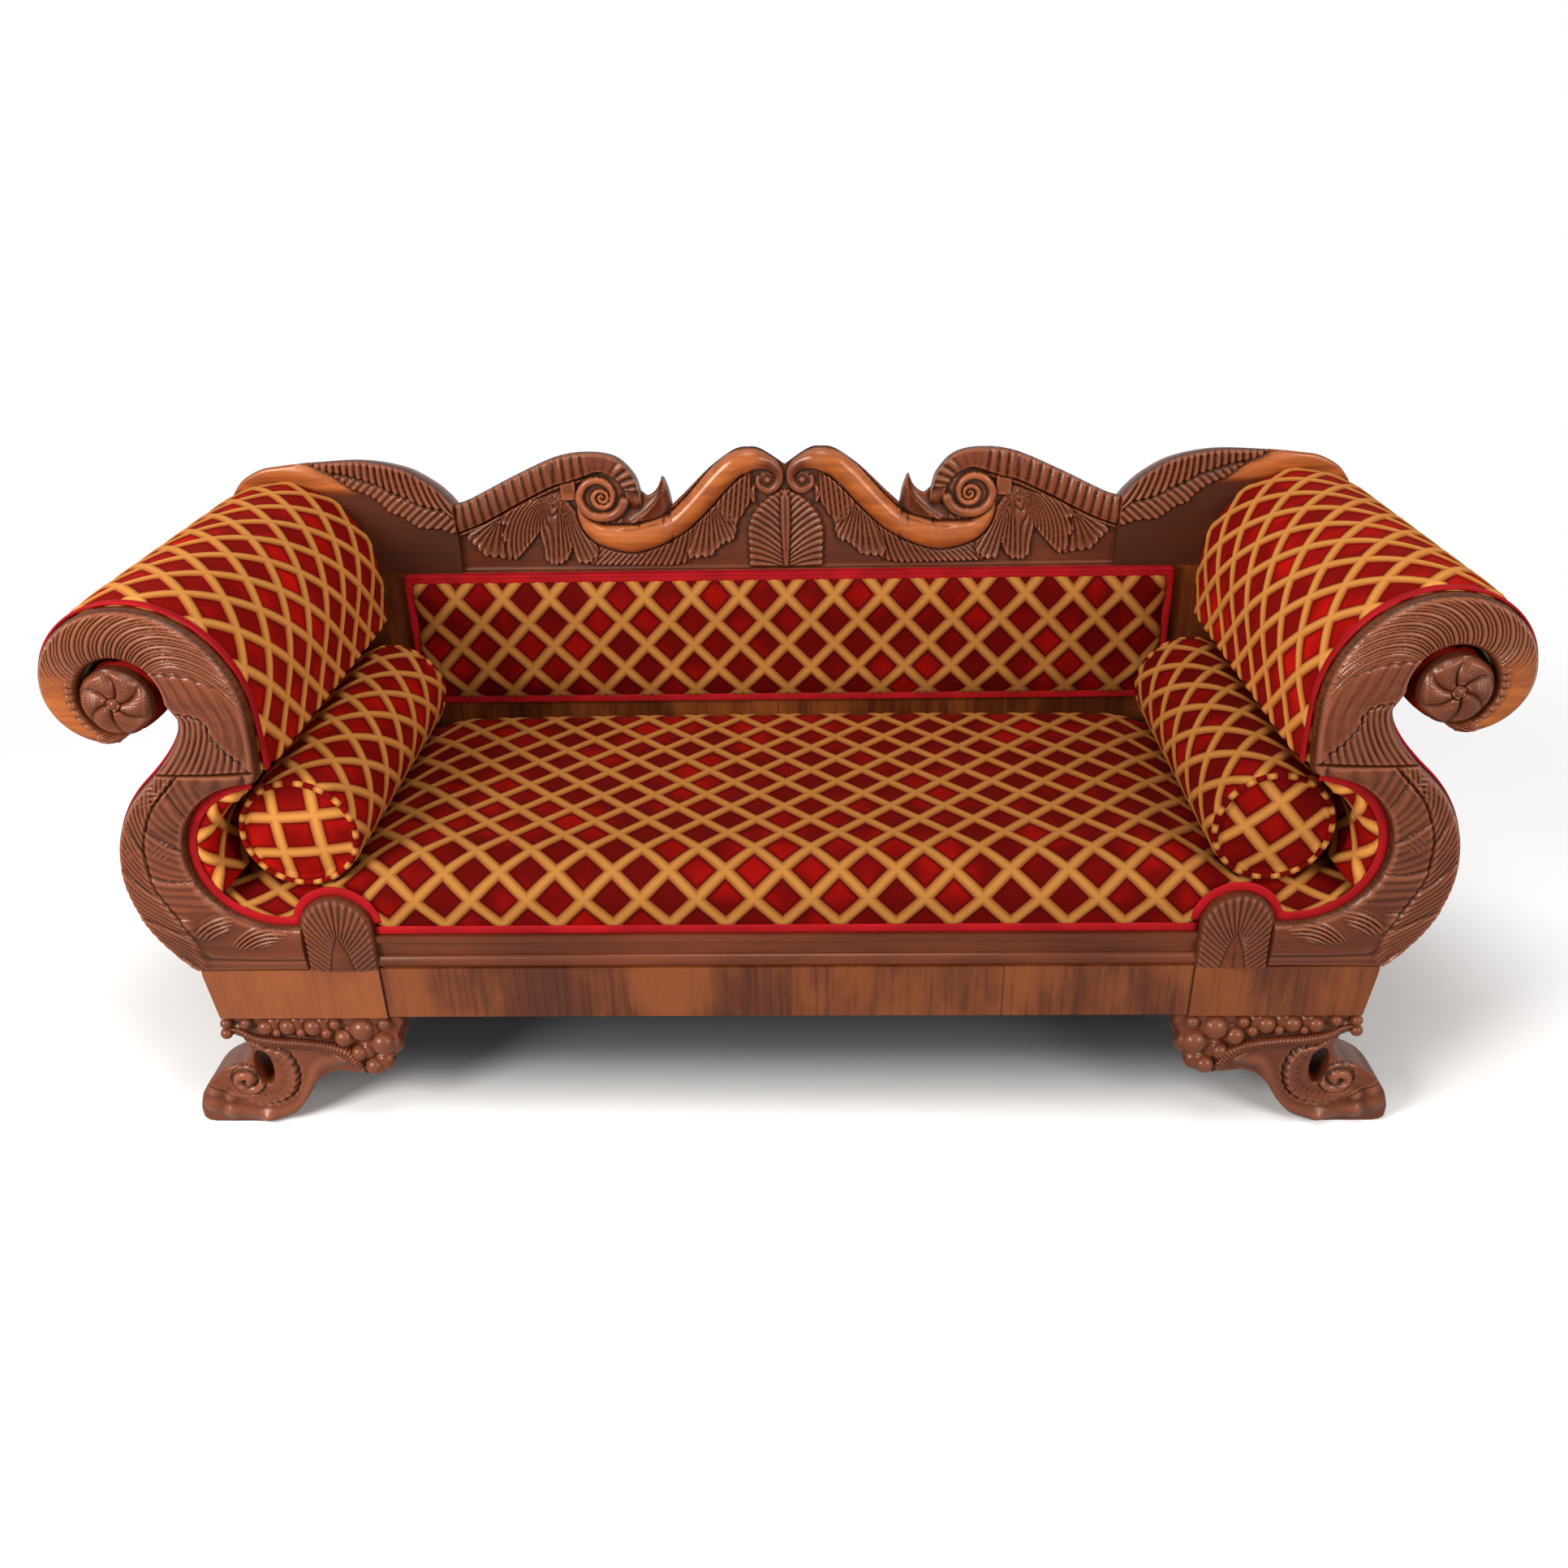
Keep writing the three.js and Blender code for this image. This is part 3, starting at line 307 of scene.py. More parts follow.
wax = {"Coat_Weight": 0.12, "Coat_Roughness": 0.2, "Coat_Tint": WARM_GLOSS, "Specular_IOR_Level": 0.3,
       "Specular_Tint": WARM_GLOSS}
mahogany = material("carved_mahogany", mahogany_paint, **wax)
plain_mahogany = material("plain_mahogany", lambda start: mahogany_paint(start, False), **wax)
give(plain_mahogany, "carved_mahogany", "seat_rail_moulding", "crest_rail",
     *sides("rear_leg", "arm_rear_post", "crest_wing", "front_leg"),
     *sides("arm_facing", "arm_rosette", "arched_tablet"))


# Webbing.
# Jute straps are nailed over the seat frame, woven over and under, and stay plain.
# The same jute cloth closes the back frame behind its pad.
JUTE_LIGHT = (0.42, 0.31, 0.17, 1)
JUTE_DARK = (0.20, 0.13, 0.06, 1)
JUTE_WAVES = 1600


def jute_paint(start):
    split = start.node("SeparateXYZ", (), {0: start.place()}, "X")
    warp = start.maths("SINE", split * JUTE_WAVES)
    weft = start.maths("SINE", split.other("Y") * JUTE_WAVES)
    weave = (warp * weft * 0.5 + 0.5) * 0.7 + start.noise(40) * 0.3
    return {"Base Color": weave.tint(JUTE_DARK, JUTE_LIGHT), "Normal": weave.bump(0.5, 0.0008)}


give(material("jute", jute_paint, Roughness=0.95), "webbing", "seat_webbing", "back_panel")


# Velvet with a gold lattice.
# Cut pile in red, with flat chenille bands sewn over it as a diagonal lattice. The cloth is made
# flat with an edge along every band, cut to size, and then laid over the stuffing.
LATTICE = 84
BAND = 0.15
BAND_HEIGHT = 3.6
CELL_LINES = (-0.36, -0.212, -0.167, -0.132, -0.08, -0.027, 0.027, 0.08, 0.132, 0.167, 0.212, 0.36, 0.5)
GIMP_WIDTH = 14
VELVET_DARK = (0.072, 0.0010, 0.0006, 1)
VELVET_BRIGHT = (0.28, 0.0030, 0.0016, 1)
GOLD_EDGE = (0.21, 0.058, 0.012, 1)
GOLD = (0.42, 0.178, 0.040, 1)
# The cloth is one on all pads. Its red and its gold are multiplied by these, set pad by pad to
# look as in the photograph, so under other light the arms look lighter than the seat.
# So these factors are painted light and shade: lit and shaded copies of the one cloth.
SEAT_LIGHT, ARM_LIGHT = (0.93, 0.95), (1.95, 1.55)
BOLSTER_LIGHTS = {"_left": (1.6, 1.35), "_right": (1.0, 1.15)}


def from_band(signal):
    return abs(signal.maths("FRACT", signal + 0.5) - 0.5)


def lighter(colour, light):
    return (*(light * channel for channel in colour[:3]), 1)


def lattice_paint(start, red_light, gold_light):
    cloth = start.node("UVMap", {"uv_map": "lattice"})
    along = start.node("SeparateXYZ", (), {0: cloth}, "X")
    away = start.maths("MINIMUM", from_band(along), from_band(along.other("Y")))
    band = 1 - away.rise(BAND - 0.012, BAND + 0.012)
    pile = start.noise(900, detail=1)
    patch = start.noise(9, detail=2).rise(0.42, 0.74)
    # The red is painted darker next to the bands as shade, and varies in patches at random besides.
    shade = (patch * 0.75 + pile * 0.25) * away.rise(BAND, BAND + 0.13)
    red = shade.tint(lighter(VELVET_DARK, red_light), lighter(VELVET_BRIGHT, red_light))
    thread = start.noise(420, detail=2)
    # The gold is browner at its edges and lighter in the middle, partly as thread colour and partly as
    # painted shade and highlight of the rounded band.
    tone_and_highlight = (1 - away.rise(BAND - 0.13, BAND + 0.01)) * (thread * 0.5 + 0.65)
    gold = tone_and_highlight.tint(lighter(GOLD_EDGE, gold_light), lighter(GOLD, gold_light))
    height = pile * 0.5 + thread * band * 0.5
    return {"Base Color": band.tint(red, gold), "Normal": height.bump(0.35, 0.0008)}


def lattice_cloth(name, lights):
    return material(name, lambda start: lattice_paint(start, *lights), Roughness=0.82, Sheen_Weight=0.1,
                    Sheen_Roughness=0.4, Sheen_Tint=(1.0, 0.12, 0.06, 1), Specular_IOR_Level=0.04)


def plain_paint(start):
    pile = start.noise(900, detail=1)
    patch = start.noise(12, detail=2).rise(0.4, 0.75)
    return {"Base Color": (patch * 0.7 + pile * 0.3).tint(VELVET_DARK, VELVET_BRIGHT),
            "Normal": pile.bump(0.3, 0.0006)}


seat_velvet = lattice_cloth("lattice_velvet", SEAT_LIGHT)
arm_velvet = lattice_cloth("lattice_velvet_arms", ARM_LIGHT)
plain_velvet = material("plain_red_velvet", plain_paint, Roughness=0.82, Specular_IOR_Level=0.08)


def swell(share):
    """A smooth step from 0 to 1."""
    share = np.clip(share, 0, 1)
    return share * share * (3 - 2 * share)


def grid(points):
    """A new bmesh over rows and columns of points, in millimetres, made from a flat grid."""
    rows, columns = points.shape[:2]
    made = bmesh.new()
    bmesh.ops.create_grid(made, x_segments=columns - 1, y_segments=rows - 1, size=0.5)
    for vert in made.verts:
        row = round((vert.co.y + 0.5) * (rows - 1))
        column = round((vert.co.x + 0.5) * (columns - 1))
        vert.co = points[row, column]
    return made


def cut_cloth(width, length, origin):
    """Flat cloth from width[0] to width[1] and 0 to length, with its lattice as UVs."""
    corners = [(u - origin[0], v - origin[1]) for u in width for v in (0, length)]
    sums = [(u + v) / LATTICE for u, v in corners]
    gaps = [(u - v) / LATTICE for u, v in corners]
    lines = [np.array([cell + line for cell in range(math.floor(min(ends)) - 1, math.ceil(max(ends)) + 2)
                       for line in CELL_LINES]) for ends in (sums, gaps)]
    first, second = np.meshgrid(*lines)
    across = (first + second) * LATTICE / 2 + origin[0]
    up = (first - second) * LATTICE / 2 + origin[1]
    cloth = grid(np.dstack([across, up, np.zeros_like(up)]))
    for axis, ends in ((0, width), (1, (0, length))):
        for end, way in zip(ends, (-1, 1)):
            place, normal = [0, 0, 0], [0, 0, 0]
            place[axis], normal[axis] = end, way
            everything = cloth.verts[:] + cloth.edges[:] + cloth.faces[:]
            bmesh.ops.bisect_plane(cloth, geom=everything, dist=1e-4, plane_co=place,
                                   plane_no=normal, clear_outer=True)
    layer = cloth.loops.layers.uv.new("lattice")
    for face in cloth.faces:
        for loop in face.loops:
            u, v = loop.vert.co.x - origin[0], loop.vert.co.y - origin[1]
            loop[layer].uv = ((u + v) / LATTICE, (u - v) / LATTICE)
    return cloth


def band_height(u, v):
    """How far the gold bands stand off the pile."""
    a, b = (u + v) / LATTICE, (u - v) / LATTICE
    off = np.minimum(abs(a - np.rint(a)), abs(b - np.rint(b)))
    return BAND_HEIGHT * np.sqrt(np.clip(1 - (off / (BAND + 0.02)) ** 2, 0, 1))


def lay(cloth, surface, core, origin, rim, side):
    """Lays flat cloth over a surface of the stuffing, its pile and bands away from the core.

    The core is how much of a point's place it keeps and its own place. A rim says how far points
    lie from the edges where gimp goes, and the bands are flat there."""
    flat = np.array([vert.co[:2] for vert in cloth.verts])
    laid = surface(flat[:, 0], flat[:, 1])
    inside = laid * core[0] + core[1]
    laid, inside = laid * (side, 1, 1), inside * (side, 1, 1)
    for vert, place in zip(cloth.verts, laid):
        vert.co = place
    cloth.normal_update()
    normals = np.array([vert.normal for vert in cloth.verts])
    if ((laid - inside) * normals).sum() < 0:
        bmesh.ops.reverse_faces(cloth, faces=cloth.faces[:])
        normals = -normals
    raised = band_height(flat[:, 0] - origin[0], flat[:, 1] - origin[1])
    if rim is not None:
        raised = raised * swell((rim(flat[:, 0], flat[:, 1]) - GIMP_WIDTH + 3) / 5)
    for vert, lift in zip(cloth.verts, normals * raised[:, None]):
        vert.co += Vector(lift)


def piece(name, made, finish, body="frame"):
    """A new piece from a bmesh in millimetres, riding on a body, with its place in its mesh."""
    bmesh.ops.scale(made, vec=(MM, MM, MM), verts=made.verts)
    mesh = bpy.data.meshes.new(name)
    for face in made.faces:
        face.smooth = True
    made.to_mesh(mesh)
    made.free()
    mesh.materials.append(finish)
    obj = new_object(name, mesh)
    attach(obj, body)
    return obj


def cover(name, node, surface, width, length, core, close, origin=(0, 0), rim=None, side=1,
          finish=seat_velvet, body="frame"):
    """A cover cut flat, laid over its stuffing and closed. It stands for the plain pad of its node."""
    cloth = cut_cloth(width, length, origin)
    lay(cloth, surface, core, origin, rim, side)
    close(cloth)
    made = piece(name, cloth, finish, body)
    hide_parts(node)


# Seat.
# A fixed pad of horsehair over webbing, rolled over the front rail and dropping at both ends
# under the bolsters. Its velvet is pulled down on all sides and tacked behind the gimp.
SEAT_FRONT, SEAT_BACK = -318, 246
SEAT_BOTTOM, SEAT_TOP, SEAT_CROWN = 361, 464, 4
SEAT_END_TOP, SEAT_CORE_Z = 428, 410
SEAT_FLAT_HALF, SEAT_END_HALF, SEAT_HALF = 555, 728, 836
SEAT_FRONT_ROUND, SEAT_BACK_ROUND, ROUND_SHARE = 86, 29, 0.47
TABLET_OUTER, TABLET_SOFT = 719, 25
BOWL_X, BOWL_Z, BOWL_WALL = 741, 502, 121
SEAT_PERIODS = 15


def arc(x, z, reach_x, reach_z, start, end, steps):
    """A stretch of an ellipse, its angles in degrees."""
    turn = np.radians(np.linspace(start, end, steps + 1))
    return np.stack([x + reach_x * np.cos(turn), z + reach_z * np.sin(turn)], axis=1)


def lengths(line):
    """How far each point of a line lies along it."""
    return np.concatenate([[0], np.cumsum(np.linalg.norm(np.diff(line, axis=0), axis=1))])


def open_edges(made):
    return [edge for edge in made.edges if edge.is_boundary]


def sewn(cloth, seam=0.3):
    """Closes a tube of cloth along its seam and over its open ends."""
    bmesh.ops.remove_doubles(cloth, verts=cloth.verts, dist=seam)
    bmesh.ops.holes_fill(cloth, edges=open_edges(cloth))


# From the foot of the front over the top to the foot of the back, its heights as shares
seat_over = np.concatenate([
    [(SEAT_FRONT, 0)],
    arc(SEAT_FRONT + SEAT_FRONT_ROUND, ROUND_SHARE, SEAT_FRONT_ROUND, 1 - ROUND_SHARE, 180, 90, 16),
    arc(SEAT_BACK - SEAT_BACK_ROUND, ROUND_SHARE, SEAT_BACK_ROUND, 1 - ROUND_SHARE, 90, 0, 8),
    [(SEAT_BACK, 0)],
])
seat_turn = SEAT_PERIODS * LATTICE
seat_loop = np.append(lengths(seat_over * (1, SEAT_TOP + 2 - SEAT_BOTTOM)), seat_turn)
seat_path = np.concatenate([seat_over, [seat_over[0]]])


def seat_surface(u, v):
    y, share = np.interp(v, seat_loop, seat_path[:, 0]), np.interp(v, seat_loop, seat_path[:, 1])
    reach = abs(u)
    drop = swell((reach - SEAT_FLAT_HALF) / (SEAT_END_HALF - SEAT_FLAT_HALF))
    top = SEAT_TOP + SEAT_CROWN * (1 - np.minimum(reach / SEAT_FLAT_HALF, 1) ** 2)
    top = top + (SEAT_END_TOP - top) * drop
    wall = BOWL_Z - np.sqrt(BOWL_WALL ** 2 - np.maximum(reach - BOWL_X, 0) ** 2)
    past_tablet = swell((reach - TABLET_OUTER + TABLET_SOFT) / TABLET_SOFT)
    bottom = SEAT_BOTTOM + (wall - SEAT_BOTTOM) * past_tablet
    return np.stack([u, y, bottom + share * (top - bottom)], axis=1)


cover("seat_pad_velvet", "seat_pad", seat_surface, (-SEAT_HALF, SEAT_HALF), seat_turn,
      ((1, 0, 0), (0, 0, SEAT_CORE_Z)), sewn, origin=(0, GIMP_WIDTH + 1), rim=lambda u, v: v)


# Back panel.
# A shallow stuffed panel under the crest, framed by gimp, and a plain lined panel behind it.
# Both are tacked to the rails and the stiles.
BACK_HALF, BACK_BOTTOM, BACK_TOP = 680, 473.3, 718
BACK_FRONT, BACK_REAR = 260, 291.7
BACK_EDGE, BACK_ROUND = 12, 40
COVER_FRONT, COVER_REAR = 327.5, 335
COVER_SINK, COVER_ROUND = 3, 12
BACK_STRETCH = LATTICE / 89
BACK_CROSSING = 680


def back_rim(u, v):
    height = v / BACK_STRETCH
    return np.minimum(np.minimum(BACK_HALF - abs(u), height), BACK_TOP - BACK_BOTTOM - height)


def back_surface(u, v):
    crown = np.sqrt(np.clip((back_rim(u, v) - GIMP_WIDTH) / BACK_ROUND, 0, 1))
    depth = BACK_EDGE + (BACK_REAR - BACK_FRONT - BACK_EDGE) * crown
    return np.stack([u, BACK_REAR - depth, BACK_BOTTOM + v / BACK_STRETCH], axis=1)


def cover_surface(u, v):
    y = COVER_REAR - COVER_SINK + COVER_SINK * swell(back_rim(u, v) / COVER_ROUND)
    return np.stack([u, y, BACK_BOTTOM + v / BACK_STRETCH], axis=1)


def closed_behind(y):
    """Carries the rim of a panel back to a plane and closes it there."""
    def close(cloth):
        rim = bmesh.ops.extrude_edge_only(cloth, edges=open_edges(cloth))["geom"]
        for vert in rim:
            if isinstance(vert, bmesh.types.BMVert):
                vert.co.y = y
        bmesh.ops.holes_fill(cloth, edges=open_edges(cloth))
        bmesh.ops.recalc_face_normals(cloth, faces=cloth.faces[:])
    return close


for name, surface, plane, fill in (("back_pad", back_surface, BACK_REAR, 0.7),
                                   ("back_cover", cover_surface, COVER_FRONT, 0.4)):
    cover(name + "_velvet", name, surface, (-BACK_HALF, BACK_HALF), (BACK_TOP - BACK_BOTTOM) * BACK_STRETCH,
          ((1, 0, 1), (0, plane, 0)), closed_behind(plane),
          origin=(0, (BACK_CROSSING - BACK_BOTTOM) * BACK_STRETCH), rim=back_rim)


# Upholstery of the arms.
# The pad runs from the cusp of the neck over the volute and under it to the roll in its eye,
# a second pad lines the bowl, and a flat cover closes the outside. All are tacked behind gimp.
CROWN_X, SHOULDER_Z, OUTER_Z = 877, 719, 765
UNDER_X, SCROLL_OUTER = 922, 1005
# Reaches across and up of the three quarters that make the volute's edge
INNER_X, INNER_Z, TOP_X, TOP_Z, LIP_X, LIP_Z = 149, 164, 128, 118, 83, 77
EYE_X, EYE_Z, ROLL_RADIUS, ROLL_COVER = 897, 755, 52, 3
NECK_X, NECK_OUTER_X, NECK_FOOT = 728, 826, 637
NECK_TOP, NECK_WAIST = 722, 685
PAD_FRONT, PAD_REAR, TRIM_FRONT = -315, 291, -320
PAD_PROUD, PUFF, PUFF_ROUND, PAD_START = 2, 4, 50, 20
OUTER_BOWL_X, OUTER_BOWL_Z, OUTER_BOWL = 756, 465, 209
OUTER_START, OUTER_END = 48, -50.3
# The bowl's pad: radius of its face, its rounded front edge, its angles and where it thins out
BOWL_FACE, BOWL_LIP, BOWL_MEAN = 91, 12, 105
BOWL_START, BOWL_SWEEP, BOWL_THIN, BOWL_TAPER = -37, 124, 66, 21
OFF_PAD = 0.5


def volute_edge(grow, steps=24):
    """From the foot of the neck's seat side over the volute to its underside."""
    return np.concatenate([
        [(NECK_X - grow, NECK_FOOT)],
        arc(CROWN_X, SHOULDER_Z, INNER_X + grow, INNER_Z + grow, 180, 90, steps),
        arc(CROWN_X, OUTER_Z, TOP_X + grow, TOP_Z + grow, 90, 0, steps)[1:],
        arc(UNDER_X, OUTER_Z, LIP_X + grow, LIP_Z + grow, 0, -90, steps)[1:],
    ])


def bent(start, middle, end, steps):
    share = np.linspace(0, 1, steps + 1)[:, None]
    start, middle, end = (np.array(place, float) for place in (start, middle, end))
    return start * (1 - share) ** 2 + 2 * middle * share * (1 - share) + end * share ** 2


def outer_edge(grow, steps=24):
    """The outer side of the neck and down round the bowl of the arm."""
    reach = OUTER_BOWL + grow
    bowl = arc(OUTER_BOWL_X, OUTER_BOWL_Z, reach, reach, OUTER_START, OUTER_END, 2 * steps)
    neck = bent((NECK_OUTER_X + grow, NECK_TOP), (NECK_OUTER_X + grow, NECK_WAIST), bowl[0], steps // 2)
    return np.concatenate([neck, bowl[1:]])


def along(line, distance):
    """Places and outward normals at distances along a line, read anticlockwise or clockwise."""
    run = lengths(line)
    place, slope = (np.stack([np.interp(distance, run, values[:, axis]) for axis in (0, 1)], axis=1)
                    for values in (line, np.gradient(line, run, axis=0)))
    slope /= np.linalg.norm(slope, axis=1)[:, None]
    return place, np.stack([-slope[:, 1], slope[:, 0]], axis=1)


def wrapped(line, puff):
    """A surface from front to back that follows a line seen from the front."""
    def surface(u, v):
        place, normal = along(line, v)
        edge = np.minimum(u - PAD_FRONT, PAD_REAR - u)
        crown = puff * np.sqrt(np.clip((edge - GIMP_WIDTH) / PUFF_ROUND, 0, 1))
        place = place + normal * crown[:, None]
        return np.stack([place[:, 0], u, place[:, 1]], axis=1)
    return surface


def thick(thickness):
    """Gives cloth that lies on stuffing its thickness, inwards."""
    return lambda cloth: bmesh.ops.solidify(cloth, geom=cloth.faces[:], thickness=thickness)


bowl_profile = np.concatenate([
    [(BOWL_WALL, TRIM_FRONT)],
    arc(BOWL_FACE + BOWL_LIP, TRIM_FRONT + BOWL_LIP, BOWL_LIP, BOWL_LIP, 270, 180, 8),
    [(BOWL_FACE, PAD_REAR)],
])
bowl_run = lengths(bowl_profile)


def bowl_surface(u, v):
    degrees = BOWL_START + u / BOWL_MEAN * 180 / math.pi
    radius = np.interp(v, bowl_run, bowl_profile[:, 0])
    radius = radius + (BOWL_WALL - radius) * np.clip((degrees - BOWL_THIN) / BOWL_TAPER, 0, 1)
    x, z = BOWL_X + radius * np.cos(np.radians(degrees)), BOWL_Z + radius * np.sin(np.radians(degrees))
    return np.stack([x, np.interp(v, bowl_run, bowl_profile[:, 1]), z], axis=1)


def tube(centre_x, centre_z, turn, start=0):
    """Makes round surfaces about a line from front to back, from radius and y along the cloth."""
    def surface(radius, y, v):
        angle = start + 2 * math.pi * v / turn
        return np.stack([centre_x + radius * np.cos(angle), y, centre_z + radius * np.sin(angle)], axis=1)
    return surface


arm_line, cover_line = volute_edge(PAD_PROUD), outer_edge(OFF_PAD)
arm_width = (PAD_FRONT, PAD_REAR)
roll_turn = 4 * LATTICE
round_roll = tube(EYE_X, EYE_Z, roll_turn)
ALONG_Y = (0, 1, 0)


def from_front(u, v):
    return u - PAD_FRONT


for side, end in SIDES:
    cover("arm_pad_velvet" + end, "arm_pad" + end, wrapped(arm_line, PUFF), arm_width,
          lengths(arm_line)[-1], (ALONG_Y, (860, 0, 720)), thick(12), origin=(0, PAD_START),
          rim=from_front, side=side, finish=arm_velvet)
    cover("arm_bowl_velvet" + end, "arm_bowl_pad" + end, bowl_surface,
          (0, BOWL_MEAN * math.radians(BOWL_SWEEP)), bowl_run[-1], (ALONG_Y, (900, 500, 520)), thick(8),
          rim=lambda u, v: v, side=side, finish=arm_velvet)
    cover("arm_cover_velvet" + end, "arm_outer_cover" + end, wrapped(cover_line, 0), arm_width,
          lengths(cover_line)[-1], (ALONG_Y, (700, 0, 520)), thick(5), rim=from_front, side=side,
          finish=arm_velvet)
    cover("arm_roll_velvet" + end, "arm_roll" + end,
          lambda u, v: round_roll(ROLL_RADIUS - ROLL_COVER, u, v), (TRIM_FRONT, PAD_REAR), roll_turn,
          (ALONG_Y, (EYE_X, 0, EYE_Z)), sewn, side=side, finish=plain_velvet)


# Bolsters.
# Two loose round cushions lie in the bowls of the arms. Each is a tube of velvet with a round
# end sewn in at both sides over a piping cut from the same cloth.
BOLSTER_X, BOLSTER_Z, BOLSTER_RADIUS = 710, 517, 88
BOLSTER_FRONT, BOLSTER_BACK = -290, 240
BOLSTER_RIM, BOLSTER_DOME = 14, 9
PIPING, PIPING_IN = 4.5, 2
# The piping runs to and fro over a band, so that red and gold take turns round it
PIPING_WAVES, PIPING_SWING = 9, 0.22
END_RINGS = (0.97, 0.92, 0.82, 0.7, 0.58, 0.46, 0.34, 0.22, 0.1)
END_TURNS = {"_left": 0.06, "_right": 0.7}
bolster_turn = 7 * LATTICE
rim_radius = BOLSTER_RADIUS - BOLSTER_RIM
bolster_line = np.concatenate([
    arc(rim_radius, BOLSTER_FRONT + BOLSTER_RIM, BOLSTER_RIM, BOLSTER_RIM, -60, 0, 6),
    arc(rim_radius, BOLSTER_BACK - BOLSTER_RIM, BOLSTER_RIM, BOLSTER_RIM, 0, 60, 6),
])
bolster_run = lengths(bolster_line)
round_bolster = tube(BOLSTER_X, BOLSTER_Z, bolster_turn, -math.pi / 2)


def bolster_surface(u, v):
    radius = np.interp(u, bolster_run, bolster_line[:, 0]) - BAND_HEIGHT / 2
    return round_bolster(radius, np.interp(u, bolster_run, bolster_line[:, 1]), v)


def bolster_end(made, y, way, turn, side):
    """Carries the tube's rim in rings to the middle of its end, with the lattice square to the disc."""
    ring = [edge for edge in open_edges(made) if way * (edge.verts[0].co.y - y) > -BOLSTER_RADIUS / 2]
    old = set(made.faces)
    middle = Vector((side * BOLSTER_X, 0, BOLSTER_Z))
    for share in END_RINGS:
        grown = bmesh.ops.extrude_edge_only(made, edges=ring)["geom"]
        ring = [item for item in grown if isinstance(item, bmesh.types.BMEdge) and item.is_boundary]
        for vert in {vert for edge in ring for vert in edge.verts}:
            flat = Vector((vert.co.x, 0, vert.co.z)) - middle
            flat = flat.normalized() * share * (rim_radius + 2)
            vert.co = middle + flat
            vert.co.y = y + way * BOLSTER_DOME * (1 - share ** 2)
    bmesh.ops.holes_fill(made, edges=ring)
    layer = made.loops.layers.uv["lattice"]
    for face in set(made.faces) - old:
        for loop in face.loops:
            flat = loop.vert.co - middle
            a = flat.x * math.cos(turn) + flat.z * math.sin(turn)
            b = -flat.x * math.sin(turn) + flat.z * math.cos(turn)
            loop[layer].uv = (a / LATTICE * math.sqrt(2) + 0.5, b / LATTICE * math.sqrt(2) + 0.5)


def bolster_ends(turn, side):
    def close(made):
        bmesh.ops.remove_doubles(made, verts=made.verts, dist=0.3)
        bolster_end(made, BOLSTER_FRONT + BOLSTER_RIM / 2, -1, turn, side)
        bolster_end(made, BOLSTER_BACK - BOLSTER_RIM / 2, 1, turn, side)
        bmesh.ops.recalc_face_normals(made, faces=made.faces[:])
    return close


def hoop(x, y, z, radius, thickness, steps=96, facets=10):
    """A round cord bent into a hoop that faces the front."""
    made = bmesh.new()
    turned = bmesh.ops.create_circle(made, segments=facets, radius=thickness)["verts"]
    bmesh.ops.translate(made, vec=(radius, 0, 0), verts=turned)
    bmesh.ops.spin(made, geom=made.verts[:] + made.edges[:], cent=(0, 0, 0), axis=(0, 1, 0),
                   angle=2 * math.pi, steps=steps, use_merge=True)
    layer = made.loops.layers.uv.new("lattice")
    for face in made.faces:
        for loop in face.loops:
            angle = math.atan2(loop.vert.co.z, loop.vert.co.x)
            loop[layer].uv = (0.5, PIPING_SWING * math.sin(PIPING_WAVES * angle))
    bmesh.ops.recalc_face_normals(made, faces=made.faces[:])
    bmesh.ops.translate(made, vec=(x, y, z), verts=made.verts)
    return made


for side, end in SIDES:
    bolster_velvet = lattice_cloth("lattice_velvet_bolster" + end, BOLSTER_LIGHTS[end])
    cover("bolster_velvet" + end, "bolster" + end, bolster_surface, (0, bolster_run[-1]), bolster_turn,
          (ALONG_Y, (BOLSTER_X, 0, BOLSTER_Z)), bolster_ends(END_TURNS[end], side), side=side,
          finish=bolster_velvet, body="bolster" + end)
    for y, place in ((BOLSTER_FRONT + PIPING_IN, "_front"), (BOLSTER_BACK - PIPING_IN, "_rear")):
        cord = hoop(side * BOLSTER_X, y, BOLSTER_Z, BOLSTER_RADIUS - PIPING, PIPING)
        piece("bolster_piping" + place + end, cord, bolster_velvet, "bolster" + end)


# Carved arm fronts.
# Each S-shaped front is sawn from one thick board glued up at the neck, then carved: a leaf with
# a vein round the bowl, straight flutes on the neck and oblique flutes round the volute.
FACING_FRONT, FACING_BACK = -332, -316
FACING_BOWL, FACING_START, FACING_SILL, FACING_FOOT = BOWL_WALL + 1, TABLET_OUTER + 0.3, 380, 304.3
EYE_EDGE = 58
CARVING_STEP, SHARP_EDGE = 1.5, math.radians(55)
VEIN = ((843, 640), (867, 614), (896, 579), (912, 541), (919, 507), (917, 458), (897, 407), (873, 352),
        (869, 309))
LOW_TIP = ((836, 736), (819, 730), (803, 728), (789, 720), (783, 699), (769, 675), (750, 655))
HIGH_TIP = ((838, 793), (814, 790), (796, 788), (776, 780), (755, 769), (736, 752))
# Middle, reach across and along, slope, and pitch of the patches of ribs on the leaf
LEAF_COMBS = (
    ((896, 606), (38, 36), 17, 7.5), ((893, 517), (24, 26), 40, 7), ((935, 512), (20, 22), -35, 7),
    ((846, 385), (24, 46), 27, 7), ((778, 368), (23, 66), 16, 6.5),
)


